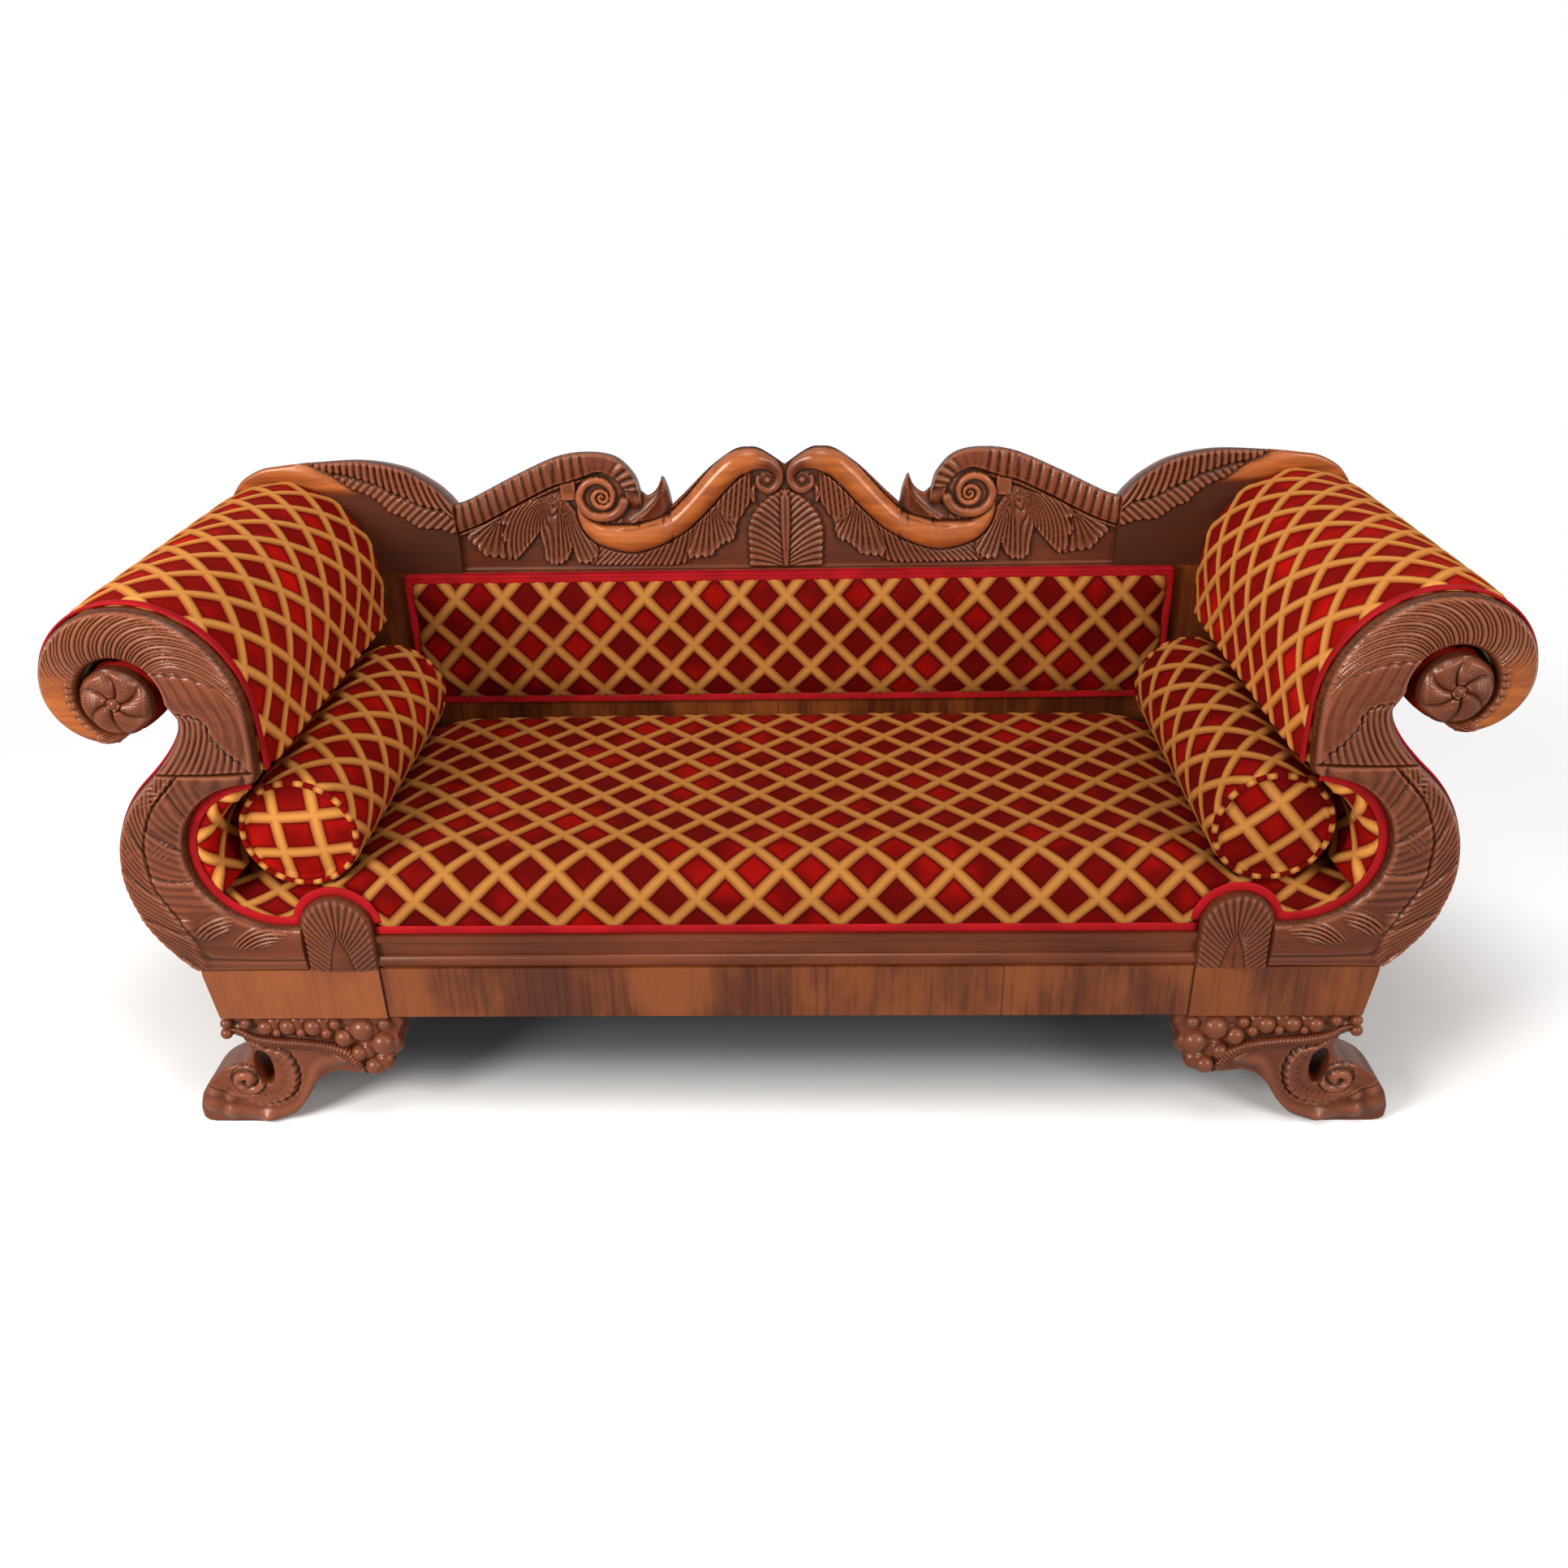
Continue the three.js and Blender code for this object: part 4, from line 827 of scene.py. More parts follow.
def nearest(x, z, line):
    """Distance from points to a line, how far along it they lie, and on which side."""
    gap, where, side = np.full(x.shape, 1e9), np.zeros(x.shape), np.ones(x.shape)
    for (ax, az), (bx, bz), start in zip(line, line[1:], lengths(line)):
        dx, dz = bx - ax, bz - az
        share = np.clip(((x - ax) * dx + (z - az) * dz) / (dx * dx + dz * dz), 0, 1)
        new = np.hypot(x - ax - share * dx, z - az - share * dz)
        closer = new < gap
        gap = np.where(closer, new, gap)
        where = np.where(closer, start + share * math.hypot(dx, dz), where)
        side = np.where(closer, np.sign(dx * (z - az) - dz * (x - ax)), side)
    return gap, where, side


def smooth_line(shares, steps, start, bottom, span, rise):
    """A smooth line through points that are shares of a width and a height."""
    points = np.array(shares, float) * (span, rise) + (start, bottom)
    points = np.concatenate([points[:1], points, points[-1:]])
    found = []
    for at in np.linspace(0, len(shares) - 1, steps + 1):
        first = min(int(at), len(shares) - 2)
        share = at - first
        a, b, c, d = points[first:first + 4]
        before, after = (c - a) / 2, (d - b) / 2
        found.append((2 * b - 2 * c + before + after) * share ** 3
                     + (3 * c - 3 * b - 2 * before - after) * share ** 2 + before * share + b)
    return np.array(found)


def rib(phase, sharpness=0.65):
    """Rounded ribs side by side, with a narrow groove at every whole number."""
    return abs(np.sin(math.pi * phase)) ** sharpness


def rod(gap, radius):
    """The height of a half-round of that radius at a distance from its middle."""
    return np.sqrt(np.clip(radius ** 2 - gap ** 2, 0, None))


def softened(height, reach):
    """Heights averaged with their neighbours, which tells the hollows from the high places."""
    window = 2 * reach + 1
    for axis in (0, 1):
        padding = [(reach, reach) if axis == one else (0, 0) for one in (0, 1)]
        wide = np.pad(height, padding, mode="edge")
        count = height.shape[axis]
        height = sum(np.take(wide, range(at, at + count), axis) for at in range(window)) / window
    return height


def ladder(first, second, rungs, step, across):
    """Rows of points across a band between two lines that the rungs pair up."""
    ends = []
    for line, places in ((first, [rung[0] for rung in rungs]), (second, [rung[1] for rung in rungs])):
        run = lengths(line)
        found = [run[np.hypot(*(line - place).T).argmin()] for place in places]
        ends.append(np.maximum.accumulate(found))
    mean = (np.array(ends[0]) + np.array(ends[1])) / 2
    knots = np.concatenate([[0], np.cumsum(np.maximum(np.diff(mean), 1))])
    rows = np.linspace(0, knots[-1], int(knots[-1] / step) + 1)
    edges = []
    for line, found in ((first, ends[0]), (second, ends[1])):
        at = np.interp(rows, knots, found)
        run = lengths(line)
        edges.append(np.stack([np.interp(at, run, line[:, axis]) for axis in (0, 1)], axis=1))
    share = np.linspace(0, 1, across)[None, :, None]
    band = edges[0][:, None] * (1 - share) + edges[1][:, None] * share
    return rows, share[0, :, 0], band[:, :, 0], band[:, :, 1]


def dense(line, step=1.0):
    """The same line with a point every step."""
    run = lengths(line)
    at = np.linspace(0, run[-1], int(run[-1] / step) + 1)
    return np.stack([np.interp(at, run, line[:, axis]) for axis in (0, 1)], axis=1)


def closed(made):
    """Joins the seam of a shape that was made as a flat grid, and closes its ends."""
    sewn(made, 0.01)
    bmesh.ops.recalc_face_normals(made, faces=made.faces[:])
    return made


def carved(name, node, x, z, height, front, back, side=1, polish_and_painted_light=None, reach=3, depth=1.1, drop=0,
           lightness_shift=0):
    """A carved board: the front stands off its plane by the heights, and the back is flat.

    Its last edge may slope down to the back by a drop. The polished colour is partly a painted highlight, and
    below 0 the same mark darkens the wood as dark wax and painted shade.
    A shift, set to the photograph, moves how light all its wood is; where it lightens, it is partly a painted
    highlight. It stands for the plain solid of its node."""
    made = bmesh.new()
    raised = np.dstack([side * x, front - height, z])
    share = drop / np.maximum(np.hypot(x[:, -1] - x[:, 0], z[:, -1] - z[:, 0]), drop + 1)
    last = [way[:, -1] * (1 - share) + way[:, 0] * share for way in (x, z)]
    rim = np.dstack([side * np.stack([last[0], x[:, 0]], axis=1), np.full((len(x), 2), float(back)),
                     np.stack([last[1], z[:, 0]], axis=1)])
    loop = np.concatenate([raised, rim, raised[:, :1]], axis=1)
    rows, columns = loop.shape[:2]
    relief = height - softened(height, reach)
    polish_and_painted_light = np.zeros_like(height) if polish_and_painted_light is None else polish_and_painted_light
    marks = {"dark_wax_and_shade": np.clip(np.maximum(-relief / depth, -polish_and_painted_light), 0, 1),
             "tone_and_highlight": np.clip(relief / depth + lightness_shift, 0, 1), "polish_and_painted_light": np.clip(polish_and_painted_light, 0, 1)}
    bmesh.ops.create_grid(made, x_segments=columns - 1, y_segments=rows - 1, size=0.5)
    layers = {mark: made.verts.layers.float.new(mark) for mark in marks}
    for vert in made.verts:
        row, column = round((vert.co.y + 0.5) * (rows - 1)), round((vert.co.x + 0.5) * (columns - 1))
        vert.co = loop[row, column]
        if column < height.shape[1]:
            for mark, values in marks.items():
                vert[layers[mark]] = values[row, column]
    obj = piece(name, closed(made), mahogany)
    obj.data.set_sharp_from_angle(angle=SHARP_EDGE)
    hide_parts(node)


seat_line = dense(np.concatenate([
    [(FACING_START, FACING_SILL)],
    arc(BOWL_X, BOWL_Z, FACING_BOWL, FACING_BOWL, -90, 90, 60),
    bent((735, 629), (NECK_X, 661), (NECK_X, SHOULDER_Z), 12),
    arc(CROWN_X, SHOULDER_Z, INNER_X, INNER_Z, 180, 90, 48)[1:],
    arc(CROWN_X, OUTER_Z, TOP_X, TOP_Z, 90, 0, 48)[1:],
    arc(UNDER_X, OUTER_Z, LIP_X, LIP_Z, 0, -90, 24)[1:],
    bent((UNDER_X, OUTER_Z - LIP_Z), (905, 691), (891, 708), 8)[1:],
]))
outer_line = dense(np.concatenate([
    [(FACING_START, FACING_FOOT)],
    outer_edge(0)[::-1],
    arc(EYE_X, EYE_Z, EYE_EDGE, EYE_EDGE, 188, -70, 86),
    [(902, 703), (893, 710)],
]))
# Places of the inner and the outer edge that lie across from each other
FACING_RUNGS = (
    ((719, 380), (719, 304)), ((741, 380), (765, 304)), ((790, 390), (889, 304)), ((845, 437), (937, 360)),
    ((863, 502), (965, 470)), ((845, 566), (944, 555)), ((802, 608), (910, 607)), ((733, 641), (880, 641)),
    ((728, 719), (826, 722)), ((733, 761), (840, 747)), ((771, 835), (846, 783)), ((877, 883), (887, 812)),
    ((967, 848), (936, 798)), ((1005, 765), (955, 757)), ((981, 710), (938, 714)), ((922, 688), (907, 698)),
    ((891, 708), (893, 710)),
)
run_along, t, face_x, face_z = ladder(seat_line, outer_line, FACING_RUNGS, CARVING_STEP, 66)
t = t[None, :]
width = np.hypot(face_x[:, -1] - face_x[:, 0], face_z[:, -1] - face_z[:, 0])[:, None]


def row_near(x, z):
    """How far along the front the rung nearest to a place of the seat side lies."""
    return run_along[np.hypot(face_x[:, 0] - x, face_z[:, 0] - z).argmin()]


GLUE_RUN = row_near(733, 641)
TOP_OF_NECK, CROWN_RUN, OUTER_RUN = (
    row_near(*place) - GLUE_RUN for place in ((NECK_X, SHOULDER_Z), (CROWN_X, OUTER_Z + TOP_Z), (1003, 780)))
s = (run_along - GLUE_RUN)[:, None]


def smoothed(points, steps=8):
    """A smooth line through points, in millimetres."""
    return smooth_line(points, steps * len(points), 0, 0, 1, 1)


def comb(x, z, middle, reach, slope, pitch):
    """A patch of carved ribs side by side that fades out at its edge."""
    slope = math.radians(slope)
    across = (x - middle[0]) * math.sin(slope) + (z - middle[1]) * math.cos(slope)
    lengthwise = (x - middle[0]) * math.cos(slope) - (z - middle[1]) * math.sin(slope)
    window = swell(1.7 - 1.7 * np.hypot(across / reach[0], (lengthwise + across ** 2 / 160) / reach[1]))
    return window * (1.2 + 4.2 * rib((across + lengthwise ** 2 / 130) / pitch, 0.9))


# Round the bowl: long flutes outside the vein and soft folds inside it, in overlapping sprays
vein_gap, vein_run, vein_side = nearest(face_x, face_z, smoothed(VEIN))
outside = vein_side > 0
flute_phase = (vein_run + 1.7 * vein_gap) / 13.5
spray = (vein_run + np.where(outside, 1.2, -0.5) * vein_gap + np.where(outside, 10, 45)) / 78
lapped = 2.6 * (1 - spray % 1) - 2.2 * np.exp(-(((spray + 0.5) % 1 - 0.5) * 78 / 2.2) ** 2)
folds = np.where(outside, 3 * rib(flute_phase, 0.9), 1.5 * rib((vein_run - 0.6 * vein_gap) / 17, 1.2))
low_band = swell((885 - face_x) / 20) * swell((430 - face_z) / 30)
bowl_relief = 1.5 + folds * (1 - low_band) + lapped * (1 - low_band)
for middle, reach, slope, pitch in LEAF_COMBS:
    bowl_relief = np.maximum(bowl_relief, comb(face_x, face_z, middle, reach, slope, pitch))
bowl_relief = bowl_relief - 3 * np.exp(-(vein_gap / 1.7) ** 2) * (1 - low_band)
bowl_relief = bowl_relief + 1.6 * np.exp(-((vein_gap - 4) / 2) ** 2) * (vein_run < 60)
bowl_relief = bowl_relief - 2.4 * np.exp(-((t - 0.73) / 0.04) ** 2) * low_band

# Up the neck: a dozen straight flutes, then the serrated tips of two leaves with long folds
neck_relief = 3.2 * rib(t * 12.5 + 0.15 * np.sin(s / 30), 0.8) * swell((s - 1) / 5)
for tip_line, jag, rise_to in ((LOW_TIP, 13, 3.4), (HIGH_TIP, 19, 2.2)):
    tip_gap, tip_run, tip_side = nearest(face_x, face_z, smoothed(tip_line))
    above = -tip_side * tip_gap - 4 * rib(tip_run / jag)
    long_folds = 1.5 * rib(t * 6 + 0.4 * np.sin(s / 34), 0.7) * swell(above / 25)
    long_folds = rise_to * swell(1.4 - above / 120) + long_folds
    neck_relief = neck_relief + (long_folds - neck_relief * 0.85) * swell(above / 2)
    neck_relief = neck_relief - 2.6 * np.exp(-((above + 1.5) / 1.6) ** 2)

# Round the volute: flutes that leave the rim along it and turn in towards the eye
lean = np.interp(s, (TOP_OF_NECK, CROWN_RUN, OUTER_RUN), (150, 66, 36))
turned_in = s - lean * (1 - (1 - t) ** 2)
fine_phase = turned_in / 9.2
fine_phase = fine_phase + 0.16 * np.sin(2.1 * fine_phase)
volute_relief = 3.6 * rib(fine_phase, 0.85) + 0.8
fine = swell((turned_in - 78 + 30 * (1 - t)) / 60)
plain = swell((s - OUTER_RUN + 30 + 24 * t) / 50) * (1 - swell((s - OUTER_RUN - 96 + 20 * t) / 14))
bead = 2.8 * rib(s / 13 + 0.5 * t) * swell((t - 0.7) / 0.12)
volute_relief = volute_relief * (1 - plain) + (1.2 + bead) * plain

relief = np.where(s < 0, bowl_relief, neck_relief * (1 - fine) + volute_relief * fine)
relief = relief + 6 * np.clip(1 - (2 * t - 1) ** 2, 0, 1) ** 0.7
relief -= 2.8 * np.exp(-(s / 1.1) ** 2)
rim_gap = np.minimum(t, 1 - t) * width
relief = relief * swell(rim_gap / 6) - 2 * (1 - swell(rim_gap / 3))
# On the volute the wood is made lighter: a polished colour on its plain stretch and flutes, and a lighter
# tone on its flutes, both partly painted highlight.
face_polish_and_highlight = np.where(s > 0, plain * swell((0.85 - t) / 0.2) * 0.6 + fine * 0.15, 0)
face_highlight = np.where(s > 0, fine * (1 - plain) * 0.4, 0)

for side, end in SIDES:
    carved("arm_facing_carved" + end, "arm_facing" + end, face_x, face_z, relief, FACING_FRONT, FACING_BACK,
           side, face_polish_and_highlight, reach=4, depth=1.5, lightness_shift=face_highlight)


# Rosettes.
# A turned boss with six hollowed petals that swirl round a button closes the eye of each volute.
# It is glued on the end of the roll and stands proud of the scroll.
ROSETTE_RADIUS = 48.5
ROSETTE_X, ROSETTE_Z = EYE_X + 4, EYE_Z - 3
ROSETTE_FRONT, ROSETTE_BACK = -336, -320.3
ROSETTE_RISE, BUTTON_SHARE = 13, 0.2
turn = np.linspace(0, 2 * math.pi, 181)[:, None]
reach = np.linspace(0, 1, 40)[None, :]
petal = turn * 3 + 1.9 * reach ** 1.3
boss = ROSETTE_RISE * np.sqrt(1 - (reach * 0.9) ** 2) * (0.35 + 0.65 * abs(np.sin(petal)) ** 0.6)
boss = boss + 1.6 * rib(turn * 30 / math.pi + reach * 3) * swell((reach - 0.3) / 0.2) * abs(np.sin(petal))
button = np.sqrt(np.clip(1 - (reach / BUTTON_SHARE) ** 2, 0, 1)) * ROSETTE_RISE
boss = boss * swell((reach - 0.1) / 0.16) + (reach < BUTTON_SHARE) * button
boss = boss * swell((1.05 - reach) / 0.2)
rosette_x = ROSETTE_X + ROSETTE_RADIUS * reach * np.cos(turn)
rosette_z = ROSETTE_Z + ROSETTE_RADIUS * reach * np.sin(turn)
for side, end in SIDES:
    carved("arm_rosette_carved" + end, "arm_rosette" + end, rosette_x, rosette_z, boss, ROSETTE_FRONT,
           ROSETTE_BACK, side, depth=1.6)


# Arched tablets.
# A fan of flutes round a plain spearhead covers the joint of each arm and the seat rail.
# It is planted on both.
TABLET_X, TABLET_HALF, TABLET_FOOT, TABLET_SPRING = 666, 53, 304.5, 378
# The last of these shifts the tablets darker: their high places get less of the lighter tone.
TABLET_FRONT, TABLET_BACK, TABLET_DARKER = -331.5, -321, -0.35
# Half widths and heights of the plain spearhead
SPEAR_FOOT, SPEAR_WAIST, SPEAR_MIDDLE, SPEAR_TIP = 19, 12, 335, 366
FLUTES, FLUTE_BEND = 26, 0.22
tablet_edge = dense(np.concatenate([
    [(TABLET_X - TABLET_HALF, TABLET_FOOT)],
    arc(TABLET_X, TABLET_SPRING, TABLET_HALF, TABLET_HALF, 180, 0, 60),
    [(TABLET_X + TABLET_HALF, TABLET_FOOT)],
]))
spear = dense(np.array([(TABLET_X - SPEAR_FOOT, TABLET_FOOT), (TABLET_X - SPEAR_WAIST, SPEAR_MIDDLE),
                        (TABLET_X, SPEAR_TIP), (TABLET_X + SPEAR_WAIST, SPEAR_MIDDLE),
                        (TABLET_X + SPEAR_FOOT, TABLET_FOOT)], float))
fan_rungs = (((613, 304), (647, 304)), ((613, 352), (654, 335)), ((666, 431), (666, 366)),
             ((719, 352), (678, 335)), ((719, 304), (685, 304)))
fan_along, fan_t, fan_x, fan_z = ladder(tablet_edge, spear, fan_rungs, 1.6, 30)
fan_share = (fan_along / fan_along[-1])[:, None]
curve = (0.5 - fan_share) * FLUTE_BEND * fan_t[None, :]
fan = 2.6 * rib((fan_share + curve) * FLUTES, 0.75)
fan = fan * swell((fan_t - 0.05) / 0.05) * swell((0.99 - fan_t) / 0.04)
fan = fan + 3.5 * fan_t[None, :]
# The spearhead is filled in to a line up its middle
inward = np.linspace(0, 1, 6)[None, 1:]
stem_z = np.clip(fan_z[:, -1:], TABLET_FOOT, 340)
fan_x = np.concatenate([fan_x, fan_x[:, -1:] * (1 - inward) + TABLET_X * inward], axis=1)
fan_z = np.concatenate([fan_z, fan_z[:, -1:] * (1 - inward) + stem_z * inward], axis=1)
fan = np.concatenate([fan, 4.5 + 1.2 * inward + 0 * stem_z], axis=1)
for side, end in SIDES:
    carved("tablet_carved" + end, "arched_tablet" + end, fan_x, fan_z, fan, TABLET_FRONT, TABLET_BACK, side,
           lightness_shift=TABLET_DARKER)


# Crest.
# One board carved on the face: two smooth swan necks that meet over a palmette, gadrooned bands
# that curl into volutes, and hanging leaves on the ground between. The necks are polished.
CREST_HALF, CREST_BOTTOM, CREST_RISE = 576.3, 718.3, 218
GROUND_FRONT, CREST_BACK = 305, 335
# Lines of the upper edge, as shares of half the length and of the height
SWAN_TOP = ((0, 0.85), (0.065, 0.965), (0.102, 0.99), (0.15, 0.97), (0.225, 0.83), (0.3, 0.64),
            (0.345, 0.53))
THORN = ((0.345, 0.53), (0.353, 0.66), (0.368, 0.775))
THORN_BACK = ((0.368, 0.775), (0.385, 0.67), (0.415, 0.615), (0.44, 0.66))
GADROON_TOP = ((0.44, 0.66), (0.455, 0.79), (0.505, 0.93), (0.58, 0.97), (0.68, 0.935), (0.81, 0.79),
               (0.95, 0.61), (1, 0.57))
# Middle of the swan neck and half its width, from the small volute to its tail
SWAN = ((46, 883, 3), (46, 868, 5), (30, 858, 6.5), (17, 864, 7), (10, 877, 7.5), (11, 888, 8.5),
        (18, 899, 10.5), (29, 907, 12.5), (45, 911, 18), (62, 911, 21.5), (85, 905, 22), (104, 890, 22),
        (122, 872, 22), (141, 851, 22), (162, 829, 21.5), (185, 808, 21), (210, 793, 21.5),
        (240, 782, 24), (270, 776, 25), (300, 779, 22.5), (325, 785, 18.5), (345, 800, 13), (357, 822, 7),
        (360, 838, 2))
GADROON_LOW = ((577, 790), (540, 803), (500, 822), (450, 848), (400, 871), (375, 877), (350, 885),
               (325, 893), (305, 889), (291, 876), (283, 858), (281, 845))
THORN_RIDGE = ((211, 886), (211, 870), (217, 852), (231, 835), (248, 820), (268, 806))
VOLUTE, SMALL_VOLUTE = (318, 850), (30, 877)
# Turns of the big volute as angle, distance from its centre and half width
COIL = ((190, 39, 8.5), (225, 36, 8), (270, 33, 7.5), (315, 37, 7), (360, 40, 6.5), (405, 36, 6.5),
        (450, 30, 6), (495, 23, 5.5), (540, 18, 4.8), (630, 17, 4.4), (720, 16, 4.2), (810, 12, 3.6),
        (900, 9.5, 3.2), (990, 8, 2.8), (1080, 6, 2.4), (1170, 3.5, 2), (1260, 0, 1.6))
# Edges of the hanging leaves as angle and distance from their feet
HANGING_EDGE = ((-125, 100), (-118, 132), (-108, 139), (-100, 132), (-98, 103), (-94, 120), (-88, 132),
                (-80, 136), (-73, 128), (-71, 110), (-64, 95), (-60, 84), (-57, 116), (-54, 154),
                (-46, 153), (-42, 138), (-36, 140), (-31, 117), (-26, 126), (-18, 100))
UNDER_EDGE = ((-130, 70), (-125, 80), (-118, 92), (-112, 100), (-104, 98), (-95, 106), (-88, 120), (-80, 122),
              (-72, 130), (-66, 120))
SPRAY_EDGE = ((-125, 40), (-110, 74), (-95, 80), (-80, 76), (-62, 82), (-45, 76), (-30, 78), (-15, 60),
              (0, 40))
HANGING_FOOT, SPRAY_FOOT, UNDER_FOOT = (392, 862), (497, 818), (130, 860)
# Height and half width of the palmette and of its stem
PALM_EDGE = ((718, 66), (790, 68), (812, 62), (825, 54), (838, 43), (850, 28), (860, 6))
PALM_STEM = ((718, 3), (760, 6), (800, 8.5), (845, 8.5), (861, 0.5))
# Place and height of the upper edge of the small leaf under the swan neck
TOP_LEAF_EDGE = ((56, 848), (62, 836), (72, 818), (84, 803), (92, 799), (102, 803), (112, 814), (122, 836))


def moulding(x, z, stations):
    """Distance from the middle of a band, how far along it, its side, and half its width there."""
    stations = np.array(stations, float)
    line = smoothed(stations[:, :2], 4)
    places = np.linspace(0, len(stations) - 1, len(line))
    half = np.interp(places, range(len(stations)), stations[:, 2])
    gap, run, side = nearest(x, z, line)
    return gap, run, side, np.interp(run, lengths(line), half)


def fan_leaf(x, z, foot, edge, pitch, bend, lift=3.0):
    """A leaf of flutes that spread from a foot; past its edge there is nothing."""
    gap = np.hypot(x - foot[0], z - foot[1])
    angle = np.degrees(np.arctan2(z - foot[1], x - foot[0]))
    angles, reaches = np.array(edge, float).T
    flute = rib((angle - bend * (110 - gap) * swell((angle + 88) / 30) * swell(-angle / 14)) / pitch, 0.7)
    room = np.interp(angle, angles, reaches, 0, 0) - 5 * (1 - flute) - gap
    curled = lift * np.clip(gap / 110, 0, 1.3) + 2 * np.exp(-(room / 9) ** 2)
    return swell(room / 3) * (2.5 + curled + 3.6 * flute * swell(gap / 16))


def crest_line(shares, steps):
    return smooth_line(shares, steps, 0, CREST_BOTTOM, CREST_HALF, CREST_RISE)


crest_top = np.concatenate([crest_line(SWAN_TOP, 60), crest_line(THORN, 12)[1:],
                            crest_line(THORN_BACK, 24)[1:], crest_line(GADROON_TOP, 90)[1:]])
crest_top[:, 0] = np.maximum.accumulate(crest_top[:, 0] + np.arange(len(crest_top)) * 1e-6)
crest_columns = np.linspace(-CREST_HALF, CREST_HALF, 730)
column_top = np.interp(abs(crest_columns), crest_top[:, 0], crest_top[:, 1])
up = np.linspace(0, 1, 130)[None, :]
crest_x = np.repeat(crest_columns[:, None], up.shape[1], axis=1)
crest_z = CREST_BOTTOM + (column_top[:, None] - CREST_BOTTOM) * up


def crest_relief(x, z):
    """Heights of the carving and how polished it is, worked from the ground up; the polished colour is partly
    a painted highlight, and below 0 it is dark wax and painted shade.
    """
    x = abs(x)
    # Hanging leaves and the fringe of flutes below the neck
    leaf = np.maximum(fan_leaf(x, z, HANGING_FOOT, HANGING_EDGE, 4.7, 0.36),
                      fan_leaf(x, z, SPRAY_FOOT, SPRAY_EDGE, 10, 0.1, 1))
    lean = np.interp(x, (150, 190, 280, 340), (0.1, 0.45, 1.0, 1.1))
    flute = rib((x + lean * (z - 730)) / 11, 0.7)
    fringe = swell((z - np.interp(x, (150, 170, 200, 345), (736, 730, 724, 726)) - 5 * (1 - flute)) / 3)
    fringe = fringe * swell((350 - x) / 6) * swell((x - 158 - 0.25 * (790 - z)) / 3 + 1) * (3.5 + 3.6 * flute)
    under = fan_leaf(x, z, UNDER_FOOT, UNDER_EDGE, 6.2, 0.0) + 1.2
    flute = rib((x + 0.11 * (z - 840)) / 8.6, 0.7)
    top_leaf = z - np.interp(x, *np.array(TOP_LEAF_EDGE, float).T)
    top_leaf = swell((top_leaf - 4 * (1 - flute)) / 3) * swell((x - 57) / 4) * swell((126 - x) / 4)
    top_leaf = top_leaf * (6 + 3.8 * flute)
    curled = np.hypot((x - 51) / 11, (z - 853) / 20)
    curled = swell((1 - curled) * 4) * (7 + 3 * rib((x - 0.4 * (z - 850)) / 7, 0.7))
    raised = np.maximum.reduce([leaf, fringe, np.where(under > 1.3, under, 0), top_leaf, curled])
    # Palmette: ribs leave the stem upwards and level out towards the edge
    spread = np.clip(1.1 * x - 0.006 * x ** 2, 0, None)
    ends = z + (46 - spread) * 0.7
    for _ in range(10):
        ends = z + (46 - spread) * np.clip((ends - 722) / 70, 0.02, 1) ** 0.7
    ridge = rib((ends - 722) / 13, 0.7)
    room = np.interp(z, *np.array(PALM_EDGE, float).T) - 4 * (1 - ridge) - x
    palm = swell(room / 3) * (z < 862) * (4 + 4 * ridge + 2 * np.exp(-(room / 12) ** 2))
    stem = np.interp(z, *np.array(PALM_STEM, float).T)
    palm = np.where(x < stem, 9 + 4 * np.sqrt(np.clip(1 - (x / stem) ** 2, 0, 1)), palm)
    raised = np.where((x < 72) & (z < 862), np.maximum(palm, raised * (x > 52)), raised)
    # Gadrooned band, with a plain stretch and long folds where it rounds the volute
    gap, run, side = nearest(x, z, smoothed(GADROON_LOW, 6))
    even = run < 268
    phase = np.where(even, (run - 0.25 * gap) / 17.9, (run - 0.1 * gap) / 10.5)
    flat_part = swell((run - 262) / 10) * swell((302 - run) / 10)
    reeds = 5 * rib(phase, 0.75) * (1 - 0.8 * flat_part) + 3 * flat_part
    crown = np.clip(np.sin(math.pi * np.clip((gap + 5) / 56, 0, 1)), 0, 1) ** 0.6
    in_band = (side < 0) & ((z > 863) | (x > 300)) & (x > 240)
    raised = np.where(in_band, swell(gap / 3) * (5 + reeds + 6 * crown), raised)
    below = np.exp(-((gap - 4) / 3) ** 2) * (side > 0) * (x > 330)
    raised = np.maximum(raised * (1 - 0.7 * np.exp(-(gap / 1.8) ** 2) * (x > 281)), 6 * below)
    # The plain end of the band and the thorn
    thorn_gap, _, thorn_side = nearest(x, z, smoothed(THORN_RIDGE, 6))
    plain = (x < 284) & (z <= 863) & (x > 196) & (z > 795)
    smooth = 2 + 9 * swell((z - 824) / 24) * (x > 249)
    blade = np.where(thorn_side > 0, 3 + 7 * np.exp(-thorn_gap / 5), 3 + 8 * np.exp(-thorn_gap / 13))
    raised = np.where(plain, np.maximum(smooth, blade), raised)
    raised = np.where((x > 196) & (x < 250) & (z > 795), blade, raised)
    collar = swell((391 - x) / 2) * swell((x - 362) / 2) * swell((z - 845) / 2) * (side > 0) * (z < 880)
    raised = np.where(collar > 0, np.maximum(raised * (1 - collar), 8.5 * collar), raised)
    # Volute: the band's end winds in round its eye, in a sunk ring
    from_eye = np.hypot(x - VOLUTE[0], z - VOLUTE[1])
    ring = swell((43 - from_eye) / 2)
    raised = raised * (1 - ring) + 2 * ring * (from_eye < 46)
    polish_and_painted_light = 0.35 * collar
